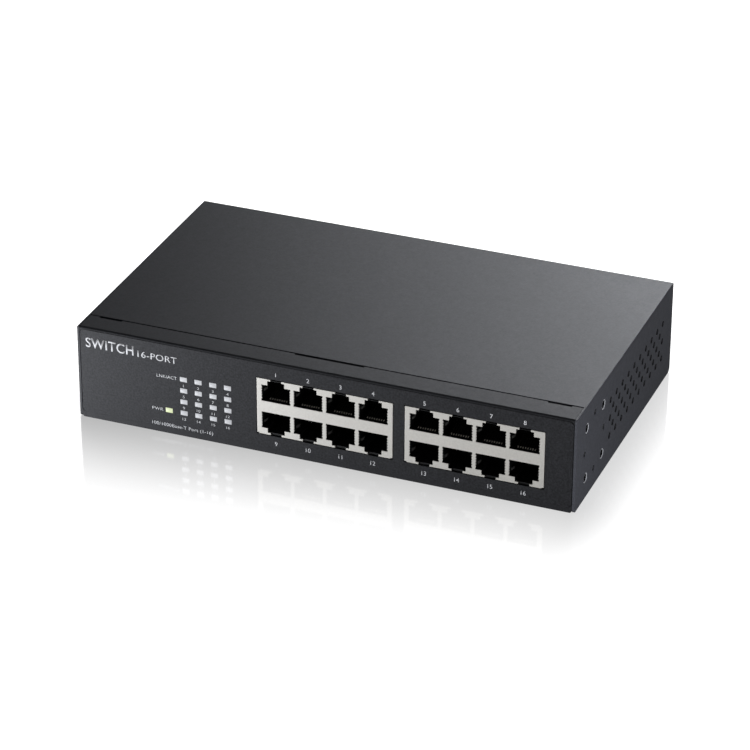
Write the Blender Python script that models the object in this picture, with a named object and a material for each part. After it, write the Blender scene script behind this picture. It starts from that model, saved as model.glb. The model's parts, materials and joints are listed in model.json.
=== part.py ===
"""A 16-port desktop Ethernet switch in a folded steel case, with its own mains supply.

Frame: metres, +Z up, +X to the right as seen from the front, the front panel faces -Y.
The origin is at the centre of the underside, on the surface that the switch stands on.
"""

import math

import bmesh
import bpy
from mathutils import Matrix, Vector

MM = 0.001

# Case
WIDTH = 215.0 * MM
DEPTH = 128.0 * MM
HEIGHT = 42.0 * MM
SHEET = 1.0 * MM
BEND = 1.5 * MM
GAP = 0.3 * MM
LEFT = -WIDTH / 2
FRONT = -DEPTH / 2
REAR = DEPTH / 2
PAST = 2.0 * MM  # how far a cutter reaches beyond what it cuts
BEND_STEPS = 3

# Front panel
FILM = 0.25 * MM
STEEL_FRONT = FRONT + 2 * FILM
FILM_SIDE_INSET = 1.3 * MM
FILM_TOP_INSET = 1.2 * MM
FILM_BOTTOM_INSET = 2.4 * MM
FILM_CORNER = 2.0 * MM
STRIP = 10.0 * MM
STRIP_RELIEF = 0.8 * MM
PANEL_HALF = WIDTH / 2 - SHEET - GAP

# Lugs of the cover under the front strip: distance of both ends from the left side
LUGS = ((5.6 * MM, 15.6 * MM), (92.0 * MM, 122.0 * MM), (199.4 * MM, 209.4 * MM))
LUG_REACH = 6.0 * MM

# Jacks
PORT_PITCH = 14.0 * MM
BANK_WIDTH = 58.65 * MM
BANK_TOP = HEIGHT - 8.1 * MM
BANK_BOTTOM = HEIGHT - 33.5 * MM
BANK_STARTS = {"left": LEFT + 79.6 * MM, "right": LEFT + 143.4 * MM}
FIRST_PORTS = {"left": LEFT + 87.9 * MM, "right": LEFT + 151.7 * MM}
BANK_DEPTH = 25.0 * MM
TIN = 0.4 * MM
CAVITY_WIDTH = 12.3 * MM
CAVITY_HEIGHT = 7.2 * MM
CAVITY_DEPTH = 13.0 * MM
LATCH_WIDTH = 6.8 * MM
LATCH_HEIGHT = 2.0 * MM
NOTCH_WIDTH = 4.4 * MM
UPPER_FLOOR = HEIGHT - 18.1 * MM
LOWER_CEILING = HEIGHT - 23.4 * MM

# Spring contacts
WIRES = 8
WIRE_PITCH = 1.02 * MM
WIRE_WIDTH = 0.45 * MM
WIRE_THICKNESS = 0.3 * MM
WIRE_LENGTH = 8.4 * MM
WIRE_RISE = math.radians(17.4)
PIVOT_BACK = 2.8 * MM
PIVOT_SUNK = 0.7 * MM
BAR = 0.8 * MM
BAR_WIDTH = 8.0 * MM
POCKET_WIDTH = 8.6 * MM
POCKET_SUNK = 1.5 * MM

# Indicator windows
WINDOW_WIDTH = 3.2 * MM
WINDOW_HEIGHT = 2.2 * MM
WINDOW_COLUMNS = [LEFT + (47.2 + 6.5 * n) * MM for n in range(4)]
WINDOW_ROWS = [HEIGHT - (15.75 + 5.17 * n) * MM for n in range(4)]
POWER_WINDOW = (LEFT + 40.5 * MM, WINDOW_ROWS[3])
GUIDE_FRONT = FRONT + 2.5 * MM
GUIDE_THICK = 2.0 * MM
GUIDE_MARGIN = 2.5 * MM
LED_BOARD_FRONT = FRONT + 7.0 * MM
LED_BOARD_MARGIN = 3.0 * MM
LED_WIDTH = 1.6 * MM
LED_HEIGHT = 0.8 * MM

# Side walls: distances back from the front and down from the top
VENT_RADIUS = 1.2 * MM
VENT_PITCH = 7.87 * MM
VENT_START = 43.5 * MM
VENT_ROWS = [(13.0 + 4.08 * n) * MM for n in range(5)]
VENTS_IN_ROW = 10
BRACKET_CENTRE = (23.65 * MM, 21.5 * MM)
BRACKET_SPACING = (21.0 * MM, 22.4 * MM)
BRACKET_RADIUS = 1.6 * MM
DIMPLES = (
    (23.7 * MM, 8.25 * MM),
    (11.6 * MM, 21.2 * MM),
    (35.75 * MM, 21.2 * MM),
    (24.0 * MM, 34.0 * MM),
)
DIMPLE_RADIUS = 1.5 * MM
DIMPLE_SUNK = 0.4 * MM

# Rear wall
REAR_LIP = 8.0 * MM
REAR_FACE = REAR - SHEET - GAP
INLET_X = -82.0 * MM
INLET_Z = 20.0 * MM
INLET_WIDTH = 27.0 * MM
INLET_HEIGHT = 19.8 * MM
INLET_DEPTH = 19.0 * MM
INLET_FACE = REAR_FACE + 0.5 * MM
FLANGE = (31.0 * MM, 24.0 * MM, 2.0 * MM)
SOCKET_WIDTH = 24.4 * MM
SOCKET_HEIGHT = 16.4 * MM
SOCKET_DEPTH = 16.0 * MM
SOCKET_CHAMFER = 4.0 * MM
PIN_WIDTH = 2.0 * MM
PIN_HEIGHT = 4.0 * MM
PIN_LENGTH = 11.0 * MM
PIN_SPREAD = 7.0 * MM
PIN_TAPER = 0.5 * MM
PIN_TAIL_GAP = 1.0 * MM
PIN_TAIL_THICK = 2.0 * MM
PINS = {"line": (-PIN_SPREAD, -1.9 * MM), "neutral": (PIN_SPREAD, -1.9 * MM), "earth": (0.0, 2.1 * MM)}
LOCK_SLOT = (60.0 * MM, 20.0 * MM, 7.0 * MM, 3.0 * MM)
LOCK_SLOT_CORNER = 0.8 * MM
COVER_SCREWS = (
    (-40.0 * MM, 36.5 * MM),
    (40.0 * MM, 36.5 * MM),
    (-102.0 * MM, 8.0 * MM),
    (102.0 * MM, 8.0 * MM),
)

# Boards
BOARD_THICK = 1.6 * MM
BOARD_TOP = BANK_BOTTOM - GAP
BOARD_BOTTOM = BOARD_TOP - BOARD_THICK
MAIN_BOARD = ((-64.0 * MM, -61.5 * MM), (103.0 * MM, 34.0 * MM))
POWER_BOARD = ((-103.0 * MM, -35.0 * MM), (-65.0 * MM, 58.0 * MM))
BOARD_SCREWS = (
    (-59.0 * MM, -30.0 * MM),
    (98.5 * MM, -34.0 * MM),
    (98.5 * MM, 29.0 * MM),
    (-59.0 * MM, 29.0 * MM),
)
POWER_SCREWS = ((-99.0 * MM, -31.0 * MM), (-69.0 * MM, 36.0 * MM))
STANDOFF_RADIUS = 3.0 * MM
FLANGE_HEIGHT = 6.5 * MM
ON_BOARD = BOARD_TOP + GAP

# Parts on the main board: places as x, y
MAGNETICS_SIZE = (28.0 * MM, 10.0 * MM, 6.0 * MM)
MAGNETICS_BACK = 9.0 * MM
SWITCH_CHIP = (14.0 * MM, -2.0 * MM)
SWITCH_CHIP_SIDE = 20.0 * MM
SWITCH_SINK = {"side": 30.0 * MM, "fins": 8, "height": 12.0 * MM}
PHY_CHIP = (62.0 * MM, -2.0 * MM)
PHY_CHIP_SIDE = 16.0 * MM
PHY_SINK = {"side": 22.0 * MM, "fins": 6, "height": 9.0 * MM}
CHIP_THICK = 1.6 * MM
FIN_THICK = 1.2 * MM
FIN_BASE = 2.0 * MM
CRYSTAL = (38.0 * MM, 14.0 * MM)
CRYSTAL_SIZE = (11.0 * MM, 4.4 * MM, 3.5 * MM)
CRYSTAL_CORNER = 2.0 * MM

# Parts of the mains supply: places as x, y
TRANSFORMER = (-84.0 * MM, -2.0 * MM)
CORE_SIZE = (22.0 * MM, 12.0 * MM, 19.0 * MM)
WINDING_SIZE = (16.0 * MM, 19.0 * MM)
WINDING_SPAN = (3.0 * MM, 16.0 * MM)
WINDING_CORNER = 3.0 * MM
BULK_CAPACITOR = {"at": (-93.0 * MM, 22.0 * MM), "radius": 6.5 * MM, "height": 20.0 * MM}
OUTPUT_CAPACITOR = {"at": (-74.0 * MM, -25.0 * MM), "radius": 4.0 * MM, "height": 14.0 * MM}
CAPACITOR_RIM = 0.5 * MM
CHOKE = (-77.0 * MM, 27.0 * MM)
CHOKE_RING = 7.0 * MM
CHOKE_TUBE = 3.0 * MM
CHOKE_TURNS = 16
CHOKE_SIDES = 8
POWER_SINK = (-100.5 * MM, -2.0 * MM)
POWER_SINK_LENGTH = 28.0 * MM
POWER_SINK_HEIGHT = 22.0 * MM
POWER_SINK_FOOT = 4.0 * MM
POWER_SINK_THICK = 1.5 * MM
FUSE = (-69.0 * MM, 17.0 * MM)
FUSE_RADIUS = 2.6 * MM
FUSE_LENGTH = 16.0 * MM

# Screws
SHANK = 1.2 * MM
CLEAR_HOLE = 1.6 * MM
HEAD = 2.8 * MM
HEAD_THICK = 1.6 * MM
BOARD_SCREW_TIP = 3.0 * MM
EARTH_SCREW = (-92.0 * MM, -50.0 * MM)
EARTH_SCREW_TIP = 0.2 * MM
COVER_SCREW_LENGTH = 5.0 * MM

# Wires, each as points along its middle
DC_CABLE_RADIUS = 1.5 * MM
DC_CABLE = (
    (-70.0 * MM, -14.0 * MM, ON_BOARD + 0.2 * MM),
    (-70.0 * MM, -14.0 * MM, ON_BOARD + 9.0 * MM),
    (-66.0 * MM, -17.0 * MM, ON_BOARD + 14.0 * MM),
    (-56.0 * MM, -20.0 * MM, ON_BOARD + 14.0 * MM),
    (-51.0 * MM, -21.0 * MM, ON_BOARD + 9.0 * MM),
    (-51.0 * MM, -21.0 * MM, ON_BOARD + 0.2 * MM),
)
EARTH_WIRE_RADIUS = 0.9 * MM
EARTH_WIRE_START = INLET_FACE - INLET_DEPTH - 5.5 * MM
EARTH_WIRE = (
    (INLET_X, EARTH_WIRE_START, ON_BOARD + 11.0 * MM),
    (INLET_X - 1.0 * MM, EARTH_WIRE_START - 8.0 * MM, ON_BOARD + 16.0 * MM),
    (-86.0 * MM, 14.0 * MM, ON_BOARD + 25.0 * MM),
    (-91.0 * MM, -8.0 * MM, ON_BOARD + 25.0 * MM),
    (-93.0 * MM, -28.0 * MM, ON_BOARD + 20.0 * MM),
    (-93.0 * MM, -43.0 * MM, 10.0 * MM),
    (EARTH_SCREW[0], EARTH_SCREW[1], 5.5 * MM),
    (EARTH_SCREW[0], EARTH_SCREW[1] - 1.0 * MM, 3.5 * MM),
)
WIRE_SMOOTHING = 4

SHARP = math.radians(40)  # edges flatter than this are shaded smooth

COLOURS = {
    "powder_coat": ((0.045, 0.047, 0.052), 0.55, 0.0),
    "printed_film": ((0.035, 0.036, 0.040), 0.6, 0.0),
    "tinned_steel": ((0.74, 0.72, 0.66), 0.4, 0.8),
    "jack_plastic": ((0.012, 0.012, 0.012), 0.5, 0.0),
    "gold_contact": ((0.83, 0.62, 0.25), 0.3, 1.0),
    "clear_window": ((0.70, 0.72, 0.72), 0.35, 0.0),
    "lit_window": ((0.75, 0.88, 0.42), 0.35, 0.0),
    "circuit_board": ((0.02, 0.16, 0.07), 0.4, 0.0),
    "chip_plastic": ((0.02, 0.02, 0.022), 0.5, 0.0),
    "bare_aluminium": ((0.72, 0.73, 0.74), 0.4, 1.0),
    "transformer_tape": ((0.72, 0.60, 0.12), 0.5, 0.0),
    "capacitor_sleeve": ((0.03, 0.04, 0.09), 0.4, 0.0),
    "ferrite": ((0.06, 0.10, 0.07), 0.6, 0.0),
    "wire_insulation": ((0.55, 0.04, 0.03), 0.5, 0.0),
    "earth_insulation": ((0.25, 0.45, 0.05), 0.5, 0.0),
    "plated_steel": ((0.60, 0.60, 0.62), 0.35, 1.0),
    "fuse_ceramic": ((0.80, 0.78, 0.72), 0.5, 0.0),
}


# ---------------------------------------------------------------- helpers

def clear_scene():
    for thing in list(bpy.data.objects):
        bpy.data.objects.remove(thing, do_unlink=True)


def make_materials():
    made = {}
    for name, (colour, roughness, metallic) in COLOURS.items():
        slot = bpy.data.materials.new(name)
        slot.use_nodes = True
        shader = slot.node_tree.nodes["Principled BSDF"]
        shader.inputs["Base Color"].default_value = (*colour, 1.0)
        shader.inputs["Roughness"].default_value = roughness
        shader.inputs["Metallic"].default_value = metallic
        slot.diffuse_color = (*colour, 1.0)
        made[name] = slot
    return made


def place(name, bm, material=None):
    """Turn a bmesh into an object in the scene."""
    bmesh.ops.recalc_face_normals(bm, faces=bm.faces)
    mesh = bpy.data.meshes.new(name)
    bm.to_mesh(mesh)
    bm.free()
    thing = bpy.data.objects.new(name, mesh)
    bpy.context.scene.collection.objects.link(thing)
    if material:
        mesh.materials.append(MATERIALS[material])
    return thing


def combine(target, bm, operation):
    """Cut a bmesh from an object, or join it on, with a Boolean modifier."""
    tool = place(f"{target.name}_{operation.lower()}_{len(target.modifiers)}", bm)
    tool.hide_render = True
    tool.display_type = "WIRE"
    step = target.modifiers.new(operation.title(), "BOOLEAN")
    step.operation = operation
    step.solver = "EXACT"
    step.object = tool


def cut(target, bm):
    combine(target, bm, "DIFFERENCE")


def join(target, bm):
    combine(target, bm, "UNION")


def add_box(bm, low, high):
    size = Vector(high) - Vector(low)
    middle = (Vector(high) + Vector(low)) / 2
    transform = Matrix.Translation(middle) @ Matrix.Diagonal((*size, 1.0))
    bmesh.ops.create_cube(bm, size=1.0, matrix=transform)


def box(low, high):
    bm = bmesh.new()
    add_box(bm, low, high)
    return bm


def add_prism(bm, outline, start, stop, lift):
    """Extrude a flat outline; lift(u, v, distance) gives each corner's place."""
    near = [bm.verts.new(lift(u, v, start)) for u, v in outline]
    far = [bm.verts.new(lift(u, v, stop)) for u, v in outline]
    bm.faces.new(near)
    bm.faces.new(far)
    for n in range(len(outline)):
        m = (n + 1) % len(outline)
        bm.faces.new((near[n], near[m], far[m], far[n]))


def along_x(u, v, distance):
    return (distance, u, v)


def along_y(u, v, distance):
    return (u, distance, v)


def along_z(u, v, distance):
    return (u, v, distance)


def prism(outline, start, stop, lift):
    bm = bmesh.new()
    add_prism(bm, outline, start, stop, lift)
    return bm


def circle(u, v, radius, sides=8):
    turn = 2 * math.pi / sides
    return [
        (u + radius * math.cos(turn * (n + 0.5)), v + radius * math.sin(turn * (n + 0.5)))
        for n in range(sides)
    ]


def rectangle(u, v, width, height):
    left, right = u - width / 2, u + width / 2
    low, high = v - height / 2, v + height / 2
    return [(left, low), (right, low), (right, high), (left, high)]


def rounded_rectangle(left, low, right, high, radius, steps=3):
    corners = ((right - radius, low + radius, -90), (right - radius, high - radius, 0),
               (left + radius, high - radius, 90), (left + radius, low + radius, 180))
    outline = []
    for u, v, first in corners:
        for n in range(steps + 1):
            angle = math.radians(first + 90 * n / steps)
            outline.append((u + radius * math.cos(angle), v + radius * math.sin(angle)))
    return outline


def folded(points, thickness, radius):
    """The outline of a sheet folded at right angles; points follow its outer face."""
    points = [Vector(p) for p in points]
    outer, inner = [points[0]], []
    for n in range(1, len(points) - 1):
        arriving = (points[n] - points[n - 1]).normalized()
        leaving = (points[n + 1] - points[n]).normalized()
        centre = points[n] + (leaving - arriving) * radius
        if n == 1:
            inner.append(points[0] + leaving * thickness)
        for step in range(BEND_STEPS + 1):
            angle = math.radians(90 * step / BEND_STEPS)
            spoke = arriving * math.sin(angle) - leaving * math.cos(angle)
            outer.append(centre + spoke * radius)
            inner.append(centre + spoke * (radius - thickness))
    outer.append(points[-1])
    inner.append(points[-1] - arriving * thickness)
    return [tuple(p) for p in outer + inner[::-1]]


def turned(profile, sides=12):
    """A body turned about Z; the profile runs from the axis at the bottom to the axis on top."""
    bm = bmesh.new()
    rings = []
    for radius, z in profile:
        if radius == 0:
            rings.append([bm.verts.new((0, 0, z))])
        else:
            rings.append([bm.verts.new((x, y, z)) for x, y in circle(0, 0, radius, sides)])
    for low, high in zip(rings, rings[1:]):
        for n in range(sides):
            m = (n + 1) % sides
            around = [low[n % len(low)], low[m % len(low)], high[m % len(high)], high[n % len(high)]]
            bm.faces.new(list(dict.fromkeys(around)))
    return bm


def smooth(thing):
    thing.data.shade_smooth()
    thing.data.set_sharp_from_angle(angle=SHARP)


def wire(name, points, radius, material):
    """A round wire along a smooth curve through the given points."""
    curve = bpy.data.curves.new(name, "CURVE")
    curve.dimensions = "3D"
    curve.bevel_depth = radius
    curve.bevel_resolution = 2
    curve.use_fill_caps = True
    curve.materials.append(MATERIALS[material])
    route = catmull(points, WIRE_SMOOTHING)
    spline = curve.splines.new("POLY")
    spline.points.add(len(route) - 1)
    for point, place_at in zip(spline.points, route):
        point.co = (*place_at, 1.0)
    thing = bpy.data.objects.new(name, curve)
    bpy.context.scene.collection.objects.link(thing)


def catmull(points, steps):
    """Points on a smooth curve through the given ones."""
    points = [Vector(p) for p in points]
    ends = [2 * points[0] - points[1], *points, 2 * points[-1] - points[-2]]
    route = []
    for a, b, c, d in zip(ends, ends[1:], ends[2:], ends[3:]):
        for n in range(steps):
            t = n / steps
            route.append(((2 * b) + (c - a) * t + (2 * a - 5 * b + 4 * c - d) * t ** 2
                          + (3 * b - a - 3 * c + d) * t ** 3) / 2)
    route.append(points[-1])
    return route


# ---------------------------------------------------------------- case

def bank_box(bank, grow, front, back):
    start = BANK_STARTS[bank]
    return (start - grow, front, BANK_BOTTOM - grow), (start + BANK_WIDTH + grow, back, BANK_TOP + grow)


def window_centres():
    return [(x, z) for z in WINDOW_ROWS for x in WINDOW_COLUMNS]


def panel_openings(front, back):
    """Cutter for what passes through the front: both jack banks and all the windows."""
    bm = bmesh.new()
    for bank in BANK_STARTS:
        add_box(bm, *bank_box(bank, GAP, front, back))
    for x, z in [*window_centres(), POWER_WINDOW]:
        outline = rectangle(x, z, WINDOW_WIDTH + GAP, WINDOW_HEIGHT + GAP)
        add_prism(bm, outline, front, back, along_y)
    return bm


def make_chassis():
    outer = [
        (STEEL_FRONT + STRIP, HEIGHT),
        (STEEL_FRONT, HEIGHT),
        (STEEL_FRONT, 0),
        (REAR_FACE, 0),
        (REAR_FACE, HEIGHT - SHEET - GAP),
    ]
    shell = prism(folded(outer, SHEET, BEND), -PANEL_HALF, PANEL_HALF, along_x)
    chassis = place("base_chassis", shell, "powder_coat")
    sides = bmesh.new()
    for side in (-1, 1):
        outside, inside = side * PANEL_HALF, side * (PANEL_HALF - SHEET)
        low, high = min(outside, inside), max(outside, inside)
        near = STEEL_FRONT + 2 * SHEET
        far = REAR_FACE - 2 * SHEET
        add_box(sides, (low, near, SHEET / 2), (high, far, FLANGE_HEIGHT))
    join(chassis, sides)
    posts = bmesh.new()
    for x, y in BOARD_SCREWS + POWER_SCREWS:
        add_prism(posts, circle(x, y, STANDOFF_RADIUS), SHEET / 2, BOARD_BOTTOM - GAP, along_z)
    join(chassis, posts)
    cut(chassis, chassis_holes())
    smooth(chassis)


def chassis_holes():
    holes = panel_openings(FRONT, STEEL_FRONT + PAST)
    strip_end = STEEL_FRONT + STRIP
    shoulder = PANEL_HALF - BEND / 3
    for side in (-1, 1):
        low, high = sorted((side * shoulder, side * (PANEL_HALF + PAST)))
        add_box(holes, (low, FRONT - PAST, HEIGHT - 2 * SHEET), (high, strip_end + PAST, HEIGHT + PAST))
    for start, stop in LUGS:
        add_box(holes, (LEFT + start, strip_end - STRIP_RELIEF, HEIGHT - 2 * SHEET),
                (LEFT + stop, strip_end + PAST, HEIGHT + PAST))
    for x, y in BOARD_SCREWS + POWER_SCREWS:
        add_prism(holes, circle(x, y, CLEAR_HOLE), 2 * SHEET, BOARD_BOTTOM + PAST, along_z)
    inlet = rectangle(INLET_X, INLET_Z, INLET_WIDTH + 2 * GAP, INLET_HEIGHT + 2 * GAP)
    add_prism(holes, inlet, REAR_FACE - PAST, REAR, along_y)
    slot_x, slot_z, slot_width, slot_height = LOCK_SLOT
    slot = rounded_rectangle(slot_x - slot_width / 2, slot_z - slot_height / 2,
                             slot_x + slot_width / 2, slot_z + slot_height / 2, LOCK_SLOT_CORNER, 2)
    add_prism(holes, slot, REAR_FACE - PAST, REAR, along_y)
    for x, z in COVER_SCREWS:
        add_prism(holes, circle(x, z, CLEAR_HOLE), REAR_FACE - PAST, REAR, along_y)
    add_prism(holes, circle(*EARTH_SCREW, CLEAR_HOLE), -PAST, 2 * SHEET, along_z)
    return holes


def make_cover():
    outer = [(LEFT, 0), (LEFT, HEIGHT), (-LEFT, HEIGHT), (-LEFT, 0)]
    cover = place("top_cover", prism(folded(outer, SHEET, BEND), FRONT, REAR, along_y), "powder_coat")
    lips = bmesh.new()
    inner_half = WIDTH / 2 - SHEET / 2
    outline = [
        (-inner_half, SHEET / 2),
        (-inner_half + REAR_LIP, SHEET / 2),
        (-inner_half + REAR_LIP, HEIGHT - SHEET / 2 - REAR_LIP),
        (inner_half - REAR_LIP, HEIGHT - SHEET / 2 - REAR_LIP),
        (inner_half - REAR_LIP, SHEET / 2),
        (inner_half, SHEET / 2),
        (inner_half, HEIGHT - SHEET / 2),
        (-inner_half, HEIGHT - SHEET / 2),
    ]
    add_prism(lips, outline, REAR - SHEET, REAR, along_y)
    join(cover, lips)
    cut(cover, cover_holes())
    join(cover, cover_lugs())
    smooth(cover)


def cover_lugs():
    lugs = bmesh.new()
    seam = STEEL_FRONT + STRIP + GAP
    top = HEIGHT - SHEET - GAP
    for start, stop in LUGS:
        profile = [
            (seam - LUG_REACH, top),
            (seam - LUG_REACH, top - SHEET),
            (seam + 2 * SHEET, top - SHEET),
            (seam + 2 * SHEET, HEIGHT - SHEET / 2),
            (seam + SHEET / 4, HEIGHT - SHEET / 2),
            (seam + SHEET / 4, top),
        ]
        add_prism(lugs, profile, LEFT + start + GAP, LEFT + stop - GAP, along_x)
    return lugs


def vent_centres():
    """Distances back from the front and down from the top of one side's vent holes."""
    centres = []
    for row, drop in enumerate(VENT_ROWS):
        stagger = row % 2
        for n in range(VENTS_IN_ROW - stagger):
            centres.append((VENT_START + (n + stagger / 2) * VENT_PITCH, drop))
    return centres


def bracket_holes():
    return [
        (BRACKET_CENTRE[0] + i * BRACKET_SPACING[0] / 2, BRACKET_CENTRE[1] + j * BRACKET_SPACING[1] / 2)
        for i in (-1, 1) for j in (-1, 1)
    ]


def cover_holes():
    holes = bmesh.new()
    add_box(holes, (LEFT + BEND, FRONT - PAST, HEIGHT - 2 * SHEET),
            (-LEFT - BEND, STEEL_FRONT + STRIP + GAP, HEIGHT + PAST))
    for side in (-1, 1):
        outside = side * (WIDTH / 2 + PAST)
        through = side * (WIDTH / 2 - 2 * SHEET)
        bottom = side * (WIDTH / 2 - DIMPLE_SUNK)
        for back, drop in vent_centres():
            outline = circle(FRONT + back, HEIGHT - drop, VENT_RADIUS, 6)
            add_prism(holes, outline, outside, through, along_x)
        for back, drop in bracket_holes():
            outline = circle(FRONT + back, HEIGHT - drop, BRACKET_RADIUS)
            add_prism(holes, outline, outside, through, along_x)
        for back, drop in DIMPLES:
            outline = circle(FRONT + back, HEIGHT - drop, DIMPLE_RADIUS)
            add_prism(holes, outline, outside, bottom, along_x)
    for x, z in COVER_SCREWS:
        profile = [(0, -2 * SHEET), (CLEAR_HOLE, -2 * SHEET), (CLEAR_HOLE, -SHEET),
                   (HEAD, -GAP), (HEAD, PAST), (0, PAST)]
        sink = turned(profile)
        bmesh.ops.transform(sink, matrix=facing_rear(x, REAR, z), verts=sink.verts)
        merge(holes, sink)
    return holes


def merge(bm, other):
    """Copy a second bmesh into the first."""
    mesh = bpy.data.meshes.new("merge")
    other.to_mesh(mesh)
    other.free()
    bm.from_mesh(mesh)
    bpy.data.meshes.remove(mesh)


def facing_rear(x, y, z):
    """A frame whose +Z points out of the back of the case."""
    return Matrix.Translation((x, y, z)) @ Matrix.Rotation(math.radians(-90), 4, "X")


def make_film():
    outline = rounded_rectangle(LEFT + FILM_SIDE_INSET, FILM_BOTTOM_INSET,
                                -LEFT - FILM_SIDE_INSET, HEIGHT - FILM_TOP_INSET, FILM_CORNER)
    film = place("front_overlay", prism(outline, FRONT, FRONT + FILM, along_y), "printed_film")
    cut(film, panel_openings(FRONT - PAST, FRONT + PAST))


# ---------------------------------------------------------------- jacks

def port_outline(x, floor, up, notch_height):
    """The mouth of a port: the plug's opening, the latch step and the latch notch."""
    rise = CAVITY_HEIGHT + LATCH_HEIGHT
    half = [
        (CAVITY_WIDTH / 2, 0),
        (CAVITY_WIDTH / 2, CAVITY_HEIGHT),
        (LATCH_WIDTH / 2, CAVITY_HEIGHT),
        (LATCH_WIDTH / 2, rise),
        (NOTCH_WIDTH / 2, rise),
        (NOTCH_WIDTH / 2, rise + notch_height),
    ]
    if not notch_height:
        half = half[:4]
    right = [(x + u, floor + up * v) for u, v in half]
    left = [(x - u, floor + up * v) for u, v in half]
    return right + left[::-1]


def bank_ports(bank):
    """The centre, floor and direction towards the latch of each port of a bank, by number."""
    first_number = 1 if bank == "left" else 5
    ports = {}
    for n in range(4):
        x = FIRST_PORTS[bank] + n * PORT_PITCH
        ports[first_number + n] = (x, UPPER_FLOOR, 1)
        ports[first_number + n + 8] = (x, LOWER_CEILING, -1)
    return ports


def make_shield(bank):
    start = BANK_STARTS[bank]
    stop = start + BANK_WIDTH
    back = FRONT + BANK_DEPTH
    shield = place(f"jack_shield_{bank}", box((start, FRONT, BANK_BOTTOM), (stop, back, BANK_TOP)),
                   "tinned_steel")
    inside = box((start + TIN, FRONT + TIN, BANK_BOTTOM - PAST), (stop - TIN, back - TIN, BANK_TOP - TIN))
    cut(shield, inside)
    mouths = bmesh.new()
    for x, floor, up in bank_ports(bank).values():
        rise = CAVITY_HEIGHT + LATCH_HEIGHT
        edge = BANK_TOP if up > 0 else BANK_BOTTOM
        notch = abs(edge - floor) - rise + TIN
        add_prism(mouths, port_outline(x, floor, up, notch), FRONT - PAST, FRONT + 2 * TIN, along_y)
    cut(shield, mouths)


def make_housing(bank):
    start = BANK_STARTS[bank] + TIN + GAP
    stop = BANK_STARTS[bank] + BANK_WIDTH - TIN - GAP
    front = FRONT + TIN + GAP
    back = FRONT + BANK_DEPTH - TIN - GAP
    top = BANK_TOP - TIN - GAP
    block = box((start, front, BANK_BOTTOM + GAP / 3), (stop, back, top))
    housing = place(f"jack_housing_{bank}", block, "jack_plastic")
    cavities = bmesh.new()
    pockets = bmesh.new()
    for x, floor, up in bank_ports(bank).values():
        outline = port_outline(x, floor, up, 0)
        if up > 0:
            outline = [(u, min(v, top - GAP)) for u, v in outline]
        add_prism(cavities, outline, FRONT - PAST, FRONT + CAVITY_DEPTH, along_y)
        sunk = floor - up * POCKET_SUNK
        above = floor + up * POCKET_SUNK
        low, high = sorted((sunk, above))
        add_box(pockets, (x - POCKET_WIDTH / 2, FRONT + PIVOT_BACK - SHEET, low),
                (x + POCKET_WIDTH / 2, FRONT + PIVOT_BACK + WIRE_LENGTH + SHEET / 2, high))
    cut(housing, cavities)
    cut(housing, pockets)


def contact_mesh():
    """Eight spring wires on one cross bar, rising towards +Y, with the pivot at the origin."""
    bar = box((-BAR_WIDTH / 2, -BAR / 2, -BAR / 2), (BAR_WIDTH / 2, BAR / 2, BAR / 2))
    comb = place("contact_pattern", bar, "gold_contact")
    wires = bmesh.new()
    run, rise = math.cos(WIRE_RISE), math.sin(WIRE_RISE)
    half = WIRE_THICKNESS / 2
    knee = 0.8 * WIRE_LENGTH
    profile = [
        (rise * half, -run * half),
        (run * knee + rise * half, rise * knee - run * half),
        (run * WIRE_LENGTH, rise * knee - run * half + half),
        (run * WIRE_LENGTH - half, rise * knee + run * half + half),
        (run * knee - rise * half, rise * knee + run * half),
        (-rise * half, run * half),
    ]
    for n in range(WIRES):
        x = (n - (WIRES - 1) / 2) * WIRE_PITCH
        add_prism(wires, profile, x - WIRE_WIDTH / 2, x + WIRE_WIDTH / 2, along_x)
    join(comb, wires)
    shape = comb.evaluated_get(bpy.context.evaluated_depsgraph_get())
    mesh = bpy.data.meshes.new_from_object(shape)
    for leftover in (comb.modifiers[0].object, comb):
        bpy.data.objects.remove(leftover, do_unlink=True)
    return mesh


def make_contacts():
    mesh = contact_mesh()
    for bank in BANK_STARTS:
        for number, (x, floor, up) in bank_ports(bank).items():
            comb = bpy.data.objects.new(f"port_{number:02d}_contacts", mesh)
            comb.location = (x, FRONT + PIVOT_BACK, floor - up * PIVOT_SUNK)
            if up < 0:
                comb.rotation_euler = (0, math.pi, 0)
            bpy.context.scene.collection.objects.link(comb)


# ---------------------------------------------------------------- indicators

def light_guide(name, centres, material):
    xs = [x for x, _ in centres]
    zs = [z for _, z in centres]
    low = (min(xs) - GUIDE_MARGIN, GUIDE_FRONT, max(min(zs) - GUIDE_MARGIN, ON_BOARD))
    high = (max(xs) + GUIDE_MARGIN, GUIDE_FRONT + GUIDE_THICK, max(zs) + GUIDE_MARGIN)
    guide = place(name, box(low, high), material)
    pegs = bmesh.new()
    for x, z in centres:
        add_prism(pegs, rectangle(x, z, WINDOW_WIDTH, WINDOW_HEIGHT), FRONT + FILM / 2,
                  GUIDE_FRONT + GUIDE_THICK / 2, along_y)
    join(guide, pegs)


def make_indicators():
    light_guide("link_light_guide", window_centres(), "clear_window")
    light_guide("power_light_guide", [POWER_WINDOW], "lit_window")
    low = (POWER_WINDOW[0] - LED_BOARD_MARGIN, LED_BOARD_FRONT, ON_BOARD)
    high = (WINDOW_COLUMNS[3] + LED_BOARD_MARGIN, LED_BOARD_FRONT + BOARD_THICK,
            WINDOW_ROWS[0] + LED_BOARD_MARGIN)
    board = place("indicator_board", box(low, high), "circuit_board")
    lights = bmesh.new()
    for x, z in [*window_centres(), POWER_WINDOW]:
        add_prism(lights, rectangle(x, z, LED_WIDTH, LED_HEIGHT), LED_BOARD_FRONT - LED_HEIGHT,
                  LED_BOARD_FRONT + BOARD_THICK / 2, along_y)
    join(board, lights)


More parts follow.
